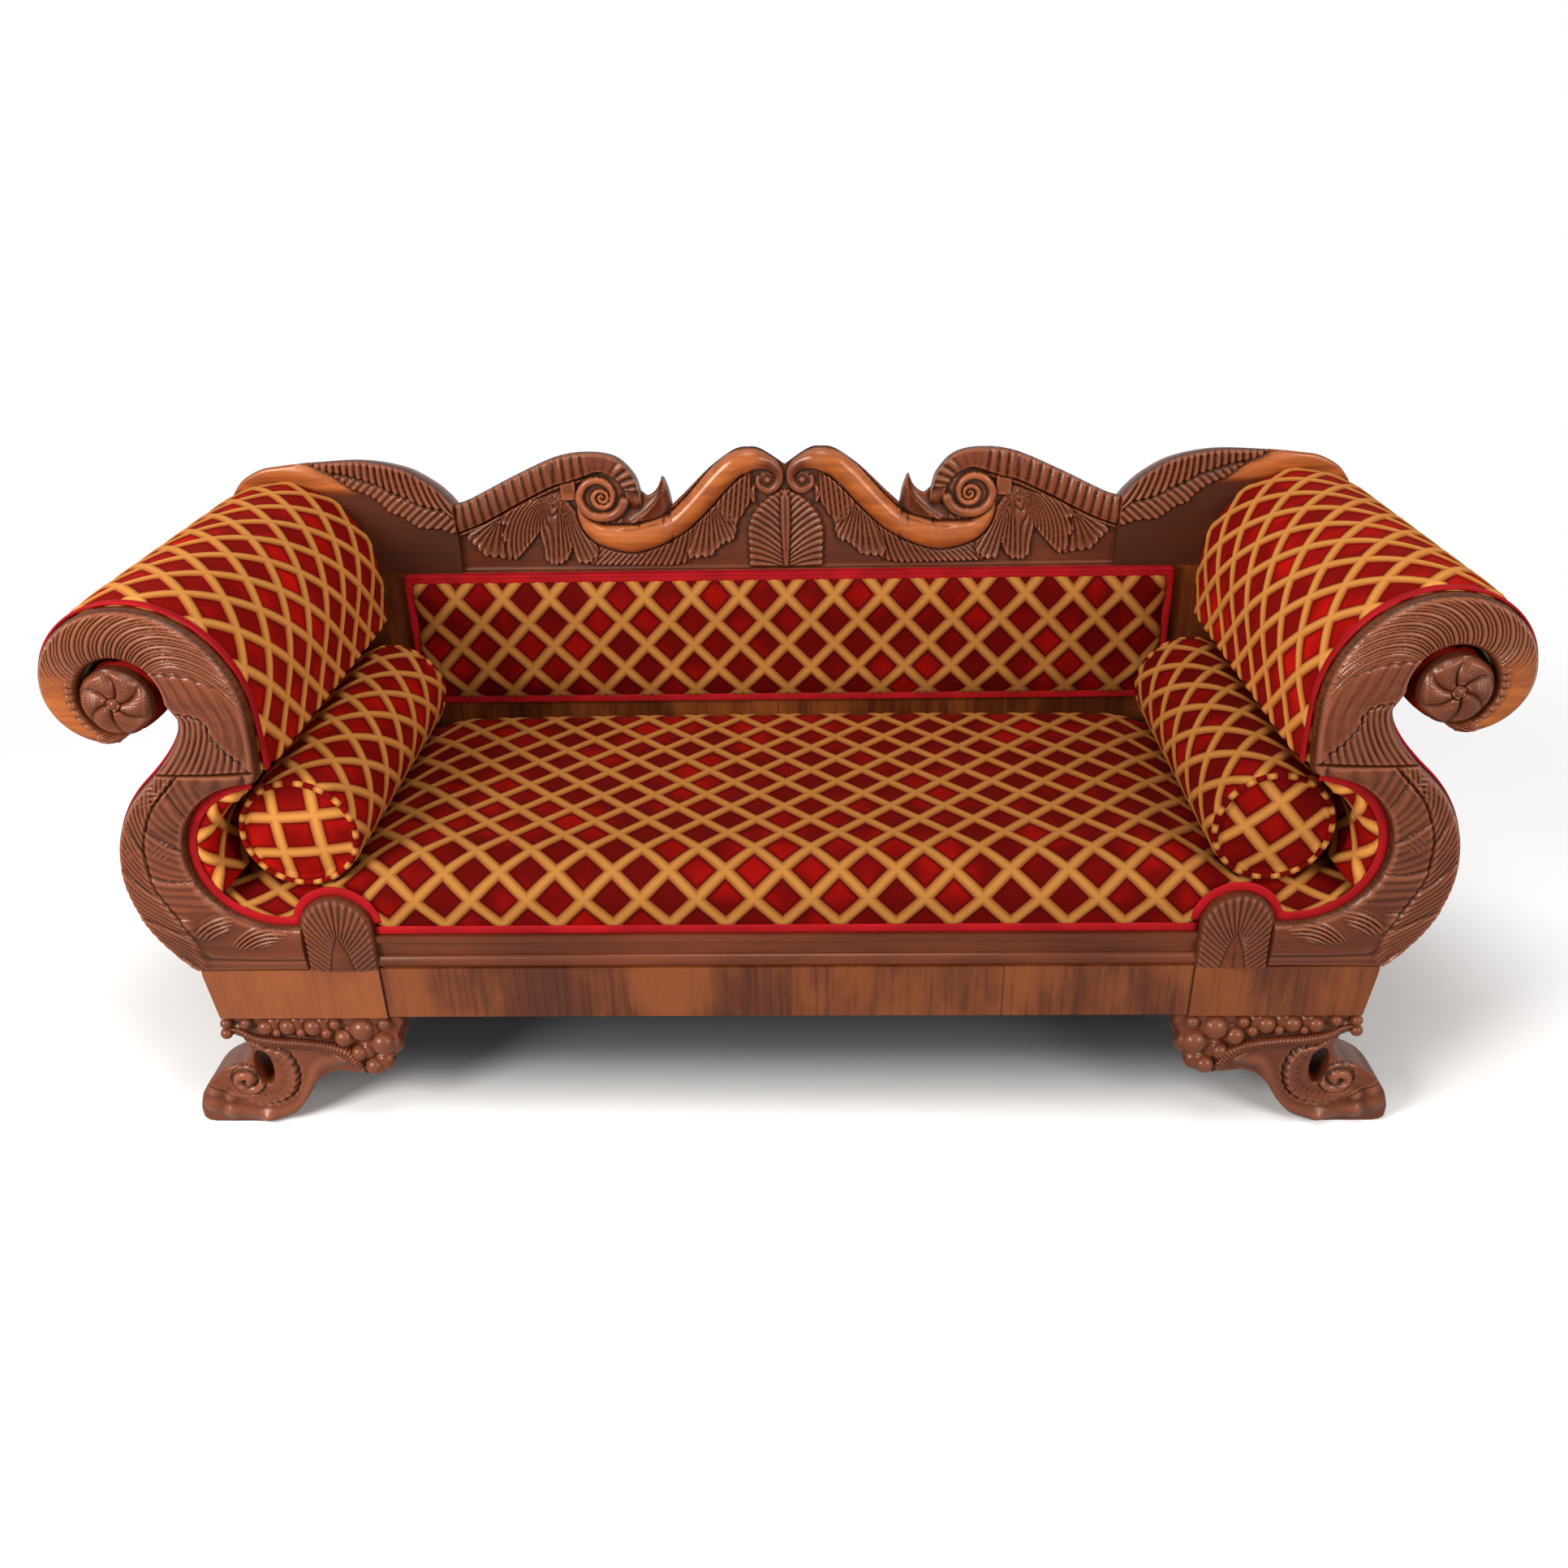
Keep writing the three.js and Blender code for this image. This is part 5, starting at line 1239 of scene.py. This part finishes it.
    # Swan neck: a full round, with a bead along the upper edge of its lower half
    neck_gap, neck_run, neck_side, half = moulding(x, z, SWAN)
    neck = 3 + 0.86 * rod(neck_gap, half)
    groove = np.exp(-((neck_gap - 0.78 * half) / 1.6) ** 2) * (neck_side > 0)
    groove = groove * swell((x - 185) / 20) * swell((300 - x) / 20)
    neck = neck - 2.2 * groove
    on_neck = neck_gap < half
    raised = np.where(on_neck, neck, raised * (1 - 0.7 * np.exp(-((neck_gap - half) / 2.4) ** 2)))
    # The neck gets a lighter polished colour past its start, partly as a painted highlight.
    polish_and_painted_light = np.maximum(polish_and_painted_light, on_neck * swell((neck_run - 95) / 40) * (1 - 0.5 * groove))
    turns = np.radians(np.linspace(COIL[0][0], COIL[-1][0], 110))
    angles, *widths = np.array(COIL, float).T
    reach, coil_half = (np.interp(turns, np.radians(angles), width) for width in widths)
    winding = np.stack([VOLUTE[0] + reach * np.cos(turns), VOLUTE[1] + reach * np.sin(turns)], axis=1)
    coil_gap, coil_run, _ = nearest(x, z, winding)
    coil_half = np.interp(coil_run, lengths(winding), coil_half)
    coil = 5 + 0.9 * coil_half + 0.75 * rod(coil_gap, coil_half)
    in_eye = from_eye < 34
    channel = np.where(in_eye & (coil_gap >= coil_half), 3.5, raised)
    raised = np.where(coil_gap < coil_half, coil, channel)
    polish_and_painted_light = np.where(coil_gap < coil_half, 0.75 * swell((coil_run - 30) / 25), np.where(in_eye, 0.2, polish_and_painted_light))
    button = np.hypot(x - SMALL_VOLUTE[0], z - SMALL_VOLUTE[1])
    raised = np.where(button < 13, np.where(on_neck, raised, 3 + 1.3 * rod(button, 6.5)), raised)
    raised = raised * swell((x - 1.2) / 2 + (z < 861))
    border = swell((z - CREST_BOTTOM - 3) / 4)
    # Low plain ground that isn't polished is painted darker, as dark wax and shade.
    return raised * border + 2 * (1 - border), np.where((raised < 2.4) & (polish_and_painted_light < 0.1), -0.15, polish_and_painted_light)


crest_height, crest_polish_and_light = crest_relief(crest_x, crest_z)
top_gap = (1 - up) * (column_top[:, None] - CREST_BOTTOM)
crest_height = crest_height * swell(top_gap / 5 + 0.3)
carved("crest_carved", "crest_rail", crest_x, crest_z, crest_height, GROUND_FRONT, CREST_BACK,
       polish_and_painted_light=crest_polish_and_light, depth=1.6, drop=9)


# Crest wings.
# The rear board of each arm rises behind the upholstery and meets the crest. It carries two rows
# of feathers, and a plain polished band follows the edge of the arm.
WING_TOP = ((0, 0.57), (0.03, 0.65), (0.09, 0.76), (0.2, 0.88), (0.36, 0.94), (0.54, 0.93), (0.69, 0.9),
            (0.755, 0.88), (0.813, 0.83), (0.853, 0.775), (0.888, 0.69), (0.915, 0.6))
FEATHER_TIPS = ((572, 812), (590, 834), (607, 838), (635, 846), (655, 857), (680, 869), (700, 881),
                (722, 889), (745, 897), (765, 902), (790, 906), (806, 914), (820, 926))
SHORT_TIPS = ((572, 786), (605, 799), (640, 802), (655, 811), (672, 824), (690, 830), (700, 842),
              (715, 856), (735, 867), (752, 874), (775, 893), (800, 908))
WING_START, WING_FRONT = CREST_HALF + 0.3, 292
wing_span = SCROLL_OUTER - WING_START
wing_line = smooth_line(WING_TOP, 90, WING_START, CREST_BOTTOM, wing_span, CREST_RISE)
rest = arc(CROWN_X, OUTER_Z, TOP_X, TOP_Z, 90, 0, 48)
wing_top = dense(np.concatenate([wing_line, rest[rest[:, 0] > wing_line[-1, 0] + 1],
                                 arc(UNDER_X, OUTER_Z, LIP_X, LIP_Z, 0, -90, 24)[1:]]))
wing_low = dense(np.concatenate([
    [(WING_START, CREST_BOTTOM), (NECK_OUTER_X, CREST_BOTTOM), (NECK_OUTER_X, NECK_TOP)],
    arc(EYE_X, EYE_Z, EYE_EDGE, EYE_EDGE, -150, -100, 12),
]))
WING_RUNGS = (((576, 718), (576, 842)), ((640, 718), (640, 905)), ((730, 718), (730, 923)),
              ((826, 718), (826, 920)), ((840, 730), (920, 900)), ((856, 713), (1005, 765)),
              ((886, 698), (922, 688)))
_, wing_t, wing_x, wing_z = ladder(wing_low, wing_top, WING_RUNGS, 1.9, 100)
wing_width = np.hypot(wing_x[:, -1] - wing_x[:, 0], wing_z[:, -1] - wing_z[:, 0])[:, None]
tips, _, tips_side = nearest(wing_x, wing_z, smoothed(FEATHER_TIPS, 6))
short, _, short_side = nearest(wing_x, wing_z, smoothed(SHORT_TIPS, 6))
feather_lean = np.interp(wing_x, (580, 620, 700, 800), (0.7, 0.45, 0.25, 0.2))
long_rib = rib((wing_x - feather_lean * (wing_z - 838) + 0.0022 * (wing_z - 838) ** 2) / 12.2, 0.75)
short_rib = rib((0.65 * wing_x + 0.76 * wing_z) / 11, 0.75)
above_tips = tips * tips_side + 5 * long_rib - 3
above_short = short * short_side + 4 * short_rib - 3
feathers = (wing_x < 822) & (wing_x > WING_START + 1)
long_row = swell(above_tips / 3) * (7 + 6 * long_rib + 2 * swell((wing_z - 850) / 60))
short_row = swell(above_short / 3) * (3 + 4.2 * short_rib - 2.5 * np.exp(-((above_tips + 2) / 3) ** 2))
arm_gap, _, _ = nearest(wing_x, wing_z, volute_edge(0))
ridge = (above_short < 0) * swell((wing_z - 862) / 16) * swell((wing_x - 735) / 20)
arm_band = 5 * np.sin(math.pi * np.clip(arm_gap / 40, 0, 1)) * ridge
wing_height = np.maximum(np.maximum(long_row, short_row) * feathers, arm_band)
wing_height = wing_height * swell((1 - wing_t[None, :]) * wing_width / 5 + 0.3)
# The band along the arm is made lighter up high, as polished wood and painted highlight, and the ground under
# the feathers darker, as dark wax and painted shade.
band_highlight_and_shade = np.where(ridge > 0, ridge, -0.75 * (above_short < 0) * (wing_z > 700))
for side, end in SIDES:
    carved("crest_wing_carved" + end, "crest_wing" + end, wing_x, wing_z, wing_height, WING_FRONT, CREST_BACK,
           side, band_highlight_and_shade, depth=1.6, drop=10)


# Front legs.
# Each is carved from one block: a horn that spills fruit under the end block, a twisted rope
# round its mouth, and a C-scroll with a serrated leaf that ends in a small volute over a paw.
BASE_HALF, LEG_LENGTH, LEG_HEIGHT, LEG_FRONT = 885, 282, 214, -325
LEG_VOXEL = 0.0024
ROPE_SHARES = ((0.06, 0.895), (0.12, 0.875), (0.19, 0.81), (0.3, 0.775), (0.45, 0.758), (0.6, 0.725),
               (0.7, 0.665), (0.755, 0.53))
LEAF_EDGE = ((0.24, 0.73), (0.339, 0.676), (0.379, 0.571), (0.386, 0.453), (0.349, 0.306), (0.251, 0.205),
             (0.13, 0.19), (0.02, 0.26))
SCROLL_BAND = ((0.66, 0.62), (0.52, 0.56), (0.45, 0.4), (0.37, 0.2), (0.25, 0.1), (0.1, 0.085),
               (-0.04, 0.15))
# Share of the length, share of the height, and radius of each fruit
FRUIT = ((0.264, 0.9, 13), (0.39, 0.905, 14), (0.53, 0.9, 15), (0.69, 0.8, 15.5), (0.8, 0.87, 21),
         (0.9, 0.745, 20), (0.83, 0.54, 15), (0.76, 0.665, 13), (0.655, 0.93, 9), (0.93, 0.93, 10),
         (0.16, 0.94, 9), (0.46, 0.86, 8), (0.325, 0.86, 7), (0.6, 0.85, 9), (0.04, 0.85, 9.5),
         (0.05, 0.94, 9))
# How light the wood is besides its relief, set to the photograph
# On the leg this is partly a painted highlight; on the fruit it is a painted highlight.
LEG_TONE_AND_HIGHLIGHT, FRUIT_HIGHLIGHT = 0.35, 0.45
# Where the knuckles of the paw stand, and how wide they are
KNUCKLES = ((-42, 40, 16), (-14, 24, 14), (46, 15, 12), (-34, 66, 11), (-10, 54, 9))
VOLUTE_PLACE, PAW_VOLUTE, VOLUTE_TURNS, VOLUTE_RISE = (0.094, 0.42), 29, 1.5, 11
ROPE_RADIUS, ROPE_PITCH, ROPE_IN = 9.5, 5.4, 5
LEAF_TOOTH, FRUIT_IN, NECK_IN = 15, 8, 14


def remeshed(node, voxel, rounds):
    """A copy of a CAD node as one even skin, its corners smoothed round."""
    made = bmesh.new()
    made.from_mesh(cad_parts[node].data)
    bmesh.ops.remove_doubles(made, verts=made.verts, dist=1e-5)
    mesh = bpy.data.meshes.new(node)
    made.to_mesh(mesh)
    made.free()
    obj = new_object(node + "_copy", mesh)
    skin = obj.modifiers.new("skin", "REMESH")
    skin.mode, skin.voxel_size = "VOXEL", voxel
    even = bpy.data.meshes.new_from_object(obj.evaluated_get(bpy.context.evaluated_depsgraph_get()))
    bpy.data.objects.remove(obj)
    made = bmesh.new()
    made.from_mesh(even)
    bmesh.ops.scale(made, vec=(1 / MM, 1 / MM, 1 / MM), verts=made.verts)
    for _ in range(rounds):
        bmesh.ops.smooth_vert(made, verts=made.verts, factor=0.5, use_axis_x=True, use_axis_y=True,
                              use_axis_z=True)
    return made


def spiral(x, z):
    """Height share of the coil over the paw, and the distance from its middle."""
    x, z = x - VOLUTE_PLACE[0] * LEG_LENGTH, z - VOLUTE_PLACE[1] * LEG_HEIGHT
    gap = np.hypot(x, z)
    coil = rib((gap / PAW_VOLUTE) ** 0.8 * VOLUTE_TURNS - np.arctan2(z, x) / (2 * math.pi) + 0.1, 0.75)
    return coil * swell((PAW_VOLUTE - gap) / 4), gap


def leg_relief(along_leg, z):
    """How far the leg's carving stands off its face."""
    rope, _, rope_side = nearest(along_leg, z, leg_line(ROPE_SHARES, 50))
    band, _, _ = nearest(along_leg, z, leg_line(SCROLL_BAND, 50))
    leaf, leaf_run, leaf_side = nearest(along_leg, z, leg_line(LEAF_EDGE, 60))
    under_fruit = swell((rope - 3) / 4) * (rope_side > 0) * (z > 90)
    raised = 6.5 * np.exp(-(band / 11) ** 2) - 4 * under_fruit
    inside = -leaf_side * leaf - 7 * abs((leaf_run / LEAF_TOOTH) % 1 - 0.5)
    on_leaf = swell(inside / 2) * (leaf < 60) * (rope_side < 0)
    fluted = 1.3 * rib(leaf_run / LEAF_TOOTH, 0.9) * swell((22 - inside) / 14) - 3.5 * swell(inside / 24)
    raised = raised * (1 - on_leaf) + on_leaf * (7 + fluted)
    raised = raised - 4.5 * np.exp(-((inside + 1.5) / 1.8) ** 2) * (leaf < 12)
    coil, coil_gap = spiral(along_leg, z)
    raised = np.where(coil_gap < PAW_VOLUTE, VOLUTE_RISE * coil, raised)
    for knuckle_x, knuckle_z, knuckle in KNUCKLES:
        raised = raised + 8 * np.exp(-((along_leg - knuckle_x) ** 2 + (z - knuckle_z) ** 2) / knuckle ** 2)
    return raised


def leg_line(shares, steps):
    return smooth_line(shares, steps, 0, 0, LEG_LENGTH, LEG_HEIGHT)


def twisted(line, y, radius, side):
    """A rope of strands laid along a line on the face of a board."""
    line = dense(line, 1)
    run = lengths(line)
    slope = np.gradient(line, axis=0)
    slope /= np.linalg.norm(slope, axis=1)[:, None]
    turn = np.linspace(0, 2 * math.pi, 25)[None, :]
    swollen = radius * (0.74 + 0.26 * rib(turn / (2 * math.pi) + run[:, None] / ROPE_PITCH, 0.8))
    swollen = swollen * np.sqrt(np.clip(np.minimum(run / 60, (run[-1] - run) / 8), 0.05, 1))[:, None]
    x = line[:, :1] - slope[:, 1:] * swollen * np.cos(turn)
    z = line[:, 1:] + slope[:, :1] * swollen * np.cos(turn)
    return closed(grid(np.dstack([side * x, y - swollen * np.sin(turn), z])))


for side, end in SIDES:
    leg = remeshed("front_leg" + end, LEG_VOXEL, 3)
    leg.normal_update()
    places = np.array([vert.co for vert in leg.verts])
    facing_us = np.clip(-np.array([vert.normal.y for vert in leg.verts]) * 1.6 - 0.5, 0, 1)
    below_tenon = places[:, 2] < LEG_HEIGHT - 2
    along_leg, up_leg = BASE_HALF - side * places[:, 0], places[:, 2]
    reach_in = facing_us * below_tenon * (places[:, 1] < -300)
    stand = leg_relief(along_leg, up_leg)
    around = sum(leg_relief(along_leg + step_x, up_leg + step_z) for step_x, step_z in
                 ((-4, 0), (4, 0), (0, -4), (0, 4))) / 4
    neck = NECK_IN * swell((up_leg - 100) / 35) * swell((182 - up_leg) / 22) * swell((44 - along_leg) / 40)
    layers = [leg.verts.layers.float.new(mark) for mark in ("dark_wax_and_shade", "tone_and_highlight")]
    for vert, lift, slimmer, relief_here, share in zip(leg.verts, stand, neck, stand - around, reach_in):
        vert.co.x -= side * slimmer
        vert.co.y -= lift * share
        # Hollows are painted darker, as dark wax and shade, and the rest lighter, as wear and painted
        # highlight.
        vert[layers[0]] = float(np.clip(-relief_here / 1.2, 0, 1) * share)
        vert[layers[1]] = float(np.clip(LEG_TONE_AND_HIGHLIGHT + relief_here / 1.2, 0, 1) * share)
    carved_leg = piece("front_leg_carved" + end, leg, mahogany)
    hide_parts("front_leg" + end)

    bunch = bmesh.new()
    lightness_shift = bunch.verts.layers.float.new("tone_and_highlight")
    for along_share, up_share, radius in FRUIT:
        x = side * (BASE_HALF - along_share * LEG_LENGTH)
        z = min(up_share * LEG_HEIGHT, LEG_HEIGHT - 1.5 - radius)
        ball = bmesh.ops.create_icosphere(bunch, subdivisions=4, radius=radius)["verts"]
        bmesh.ops.translate(bunch, vec=(x, LEG_FRONT - FRUIT_IN + radius * 0.6, z), verts=ball)
    # Every fruit gets the same painted highlight.
    for vert in bunch.verts:
        vert[lightness_shift] = FRUIT_HIGHLIGHT
    piece("leg_fruit" + end, bunch, mahogany)
    rope_line = (BASE_HALF, 0) + leg_line(ROPE_SHARES, 60) * (-1, 1)
    rope = twisted(rope_line, LEG_FRONT - ROPE_IN, ROPE_RADIUS, side)
    piece("leg_rope" + end, rope, mahogany)


# Gimp.
# A flat red braid is glued over every edge where the velvet is tacked to the wood: along the
# front of the seat, round the tablets and the bowls, over the arms and round the back panel.
GIMP_DARK = (0.22, 0.003, 0.005, 1)
GIMP_RED = (0.42, 0.006, 0.010, 1)
GIMP_THICKNESS, OVER_WIDTH = 4.6, 27


def gimp_paint(start):
    twill = start.noise(500, detail=2)
    broad = start.noise(14, detail=2).rise(0.35, 0.7)
    return {"Base Color": (twill * 0.5 + broad * 0.5).tint(GIMP_DARK, GIMP_RED),
            "Normal": twill.bump(0.5, 0.0008)}


gimp_red = material("gimp", gimp_paint, Roughness=0.75, Specular_IOR_Level=0.12)


def braid(line, out, width=GIMP_WIDTH):
    """A braid along a line in space; out points away from the cloth at each of its points."""
    line, out = np.array(line, float), np.broadcast_to(np.array(out, float), np.shape(line))
    slope = np.gradient(line, axis=0)
    slope /= np.linalg.norm(slope, axis=1)[:, None]
    across = np.cross(slope, out)
    turn = np.linspace(0, 2 * math.pi, 17)
    flat = np.sign(np.cos(turn)) * abs(np.cos(turn)) ** 0.7 * width / 2
    stand = np.sign(np.sin(turn)) * abs(np.sin(turn)) ** 0.6 * GIMP_THICKNESS / 2 + GIMP_THICKNESS / 2 - 0.4
    return closed(grid(line[:, None] + across[:, None] * flat[None, :, None]
                       + out[:, None] * stand[None, :, None]))


def on_front(line, y, side):
    """A line seen from the front, at a depth."""
    return np.stack([side * line[:, 0], np.full(len(line), float(y)), line[:, 1]], axis=1)


def straight(start, end):
    return dense(np.array([start, end], float), 8)


def gimp(name, line, out=(0, -1, 0), width=GIMP_WIDTH):
    piece(name, braid(line, out, width), gimp_red)


half_gimp = GIMP_WIDTH / 2
seat_gimp_half = TABLET_X - TABLET_HALF - 1
seat_gimp_line = straight(*((x, SEAT_BOTTOM + half_gimp) for x in (-seat_gimp_half, seat_gimp_half)))
gimp("seat_gimp", on_front(seat_gimp_line, SEAT_FRONT, 1))
inner_x, inner_low, inner_high = BACK_HALF - half_gimp, BACK_BOTTOM + half_gimp, BACK_TOP - half_gimp
BACK_FRAME = {
    "bottom": ((-BACK_HALF, inner_low), (BACK_HALF, inner_low)),
    "top": ((-BACK_HALF, inner_high), (BACK_HALF, inner_high)),
    "left": ((-inner_x, BACK_BOTTOM), (-inner_x, BACK_TOP)),
    "right": ((inner_x, BACK_BOTTOM), (inner_x, BACK_TOP)),
}
for place, ends in BACK_FRAME.items():
    gimp("back_gimp_" + place, on_front(straight(*ends), BACK_REAR - BACK_EDGE, 1))
over = on_front(straight((-BACK_HALF, BACK_TOP), (BACK_HALF, BACK_TOP)), BACK_REAR - 4, 1)
gimp("back_gimp_over", over - (0, 0, GIMP_THICKNESS - 1), (0, 0, 1), OVER_WIDTH)
for side, end in SIDES:
    tablet_reach, bowl_reach = TABLET_HALF + half_gimp, FACING_BOWL - half_gimp
    arch = arc(TABLET_X, TABLET_SPRING, tablet_reach, tablet_reach, 176, 8, 40)
    gimp("tablet_gimp" + end, on_front(arch, SEAT_FRONT - 1, side))
    bowl_line = np.concatenate([[(TABLET_OUTER + 2, FACING_SILL + half_gimp)],
                                arc(BOWL_X, BOWL_Z, bowl_reach, bowl_reach, -90, 86, 60)])
    gimp("bowl_gimp" + end, on_front(dense(bowl_line, 3), TRIM_FRONT, side))
    for name, line in (("volute_gimp", arm_line), ("cover_gimp", cover_line)):
        line = dense(line, 3)
        _, normal = along(line, lengths(line))
        out = on_front(normal, 0, side)
        gimp(name + end, on_front(line, PAD_FRONT + half_gimp - 4, side), out)
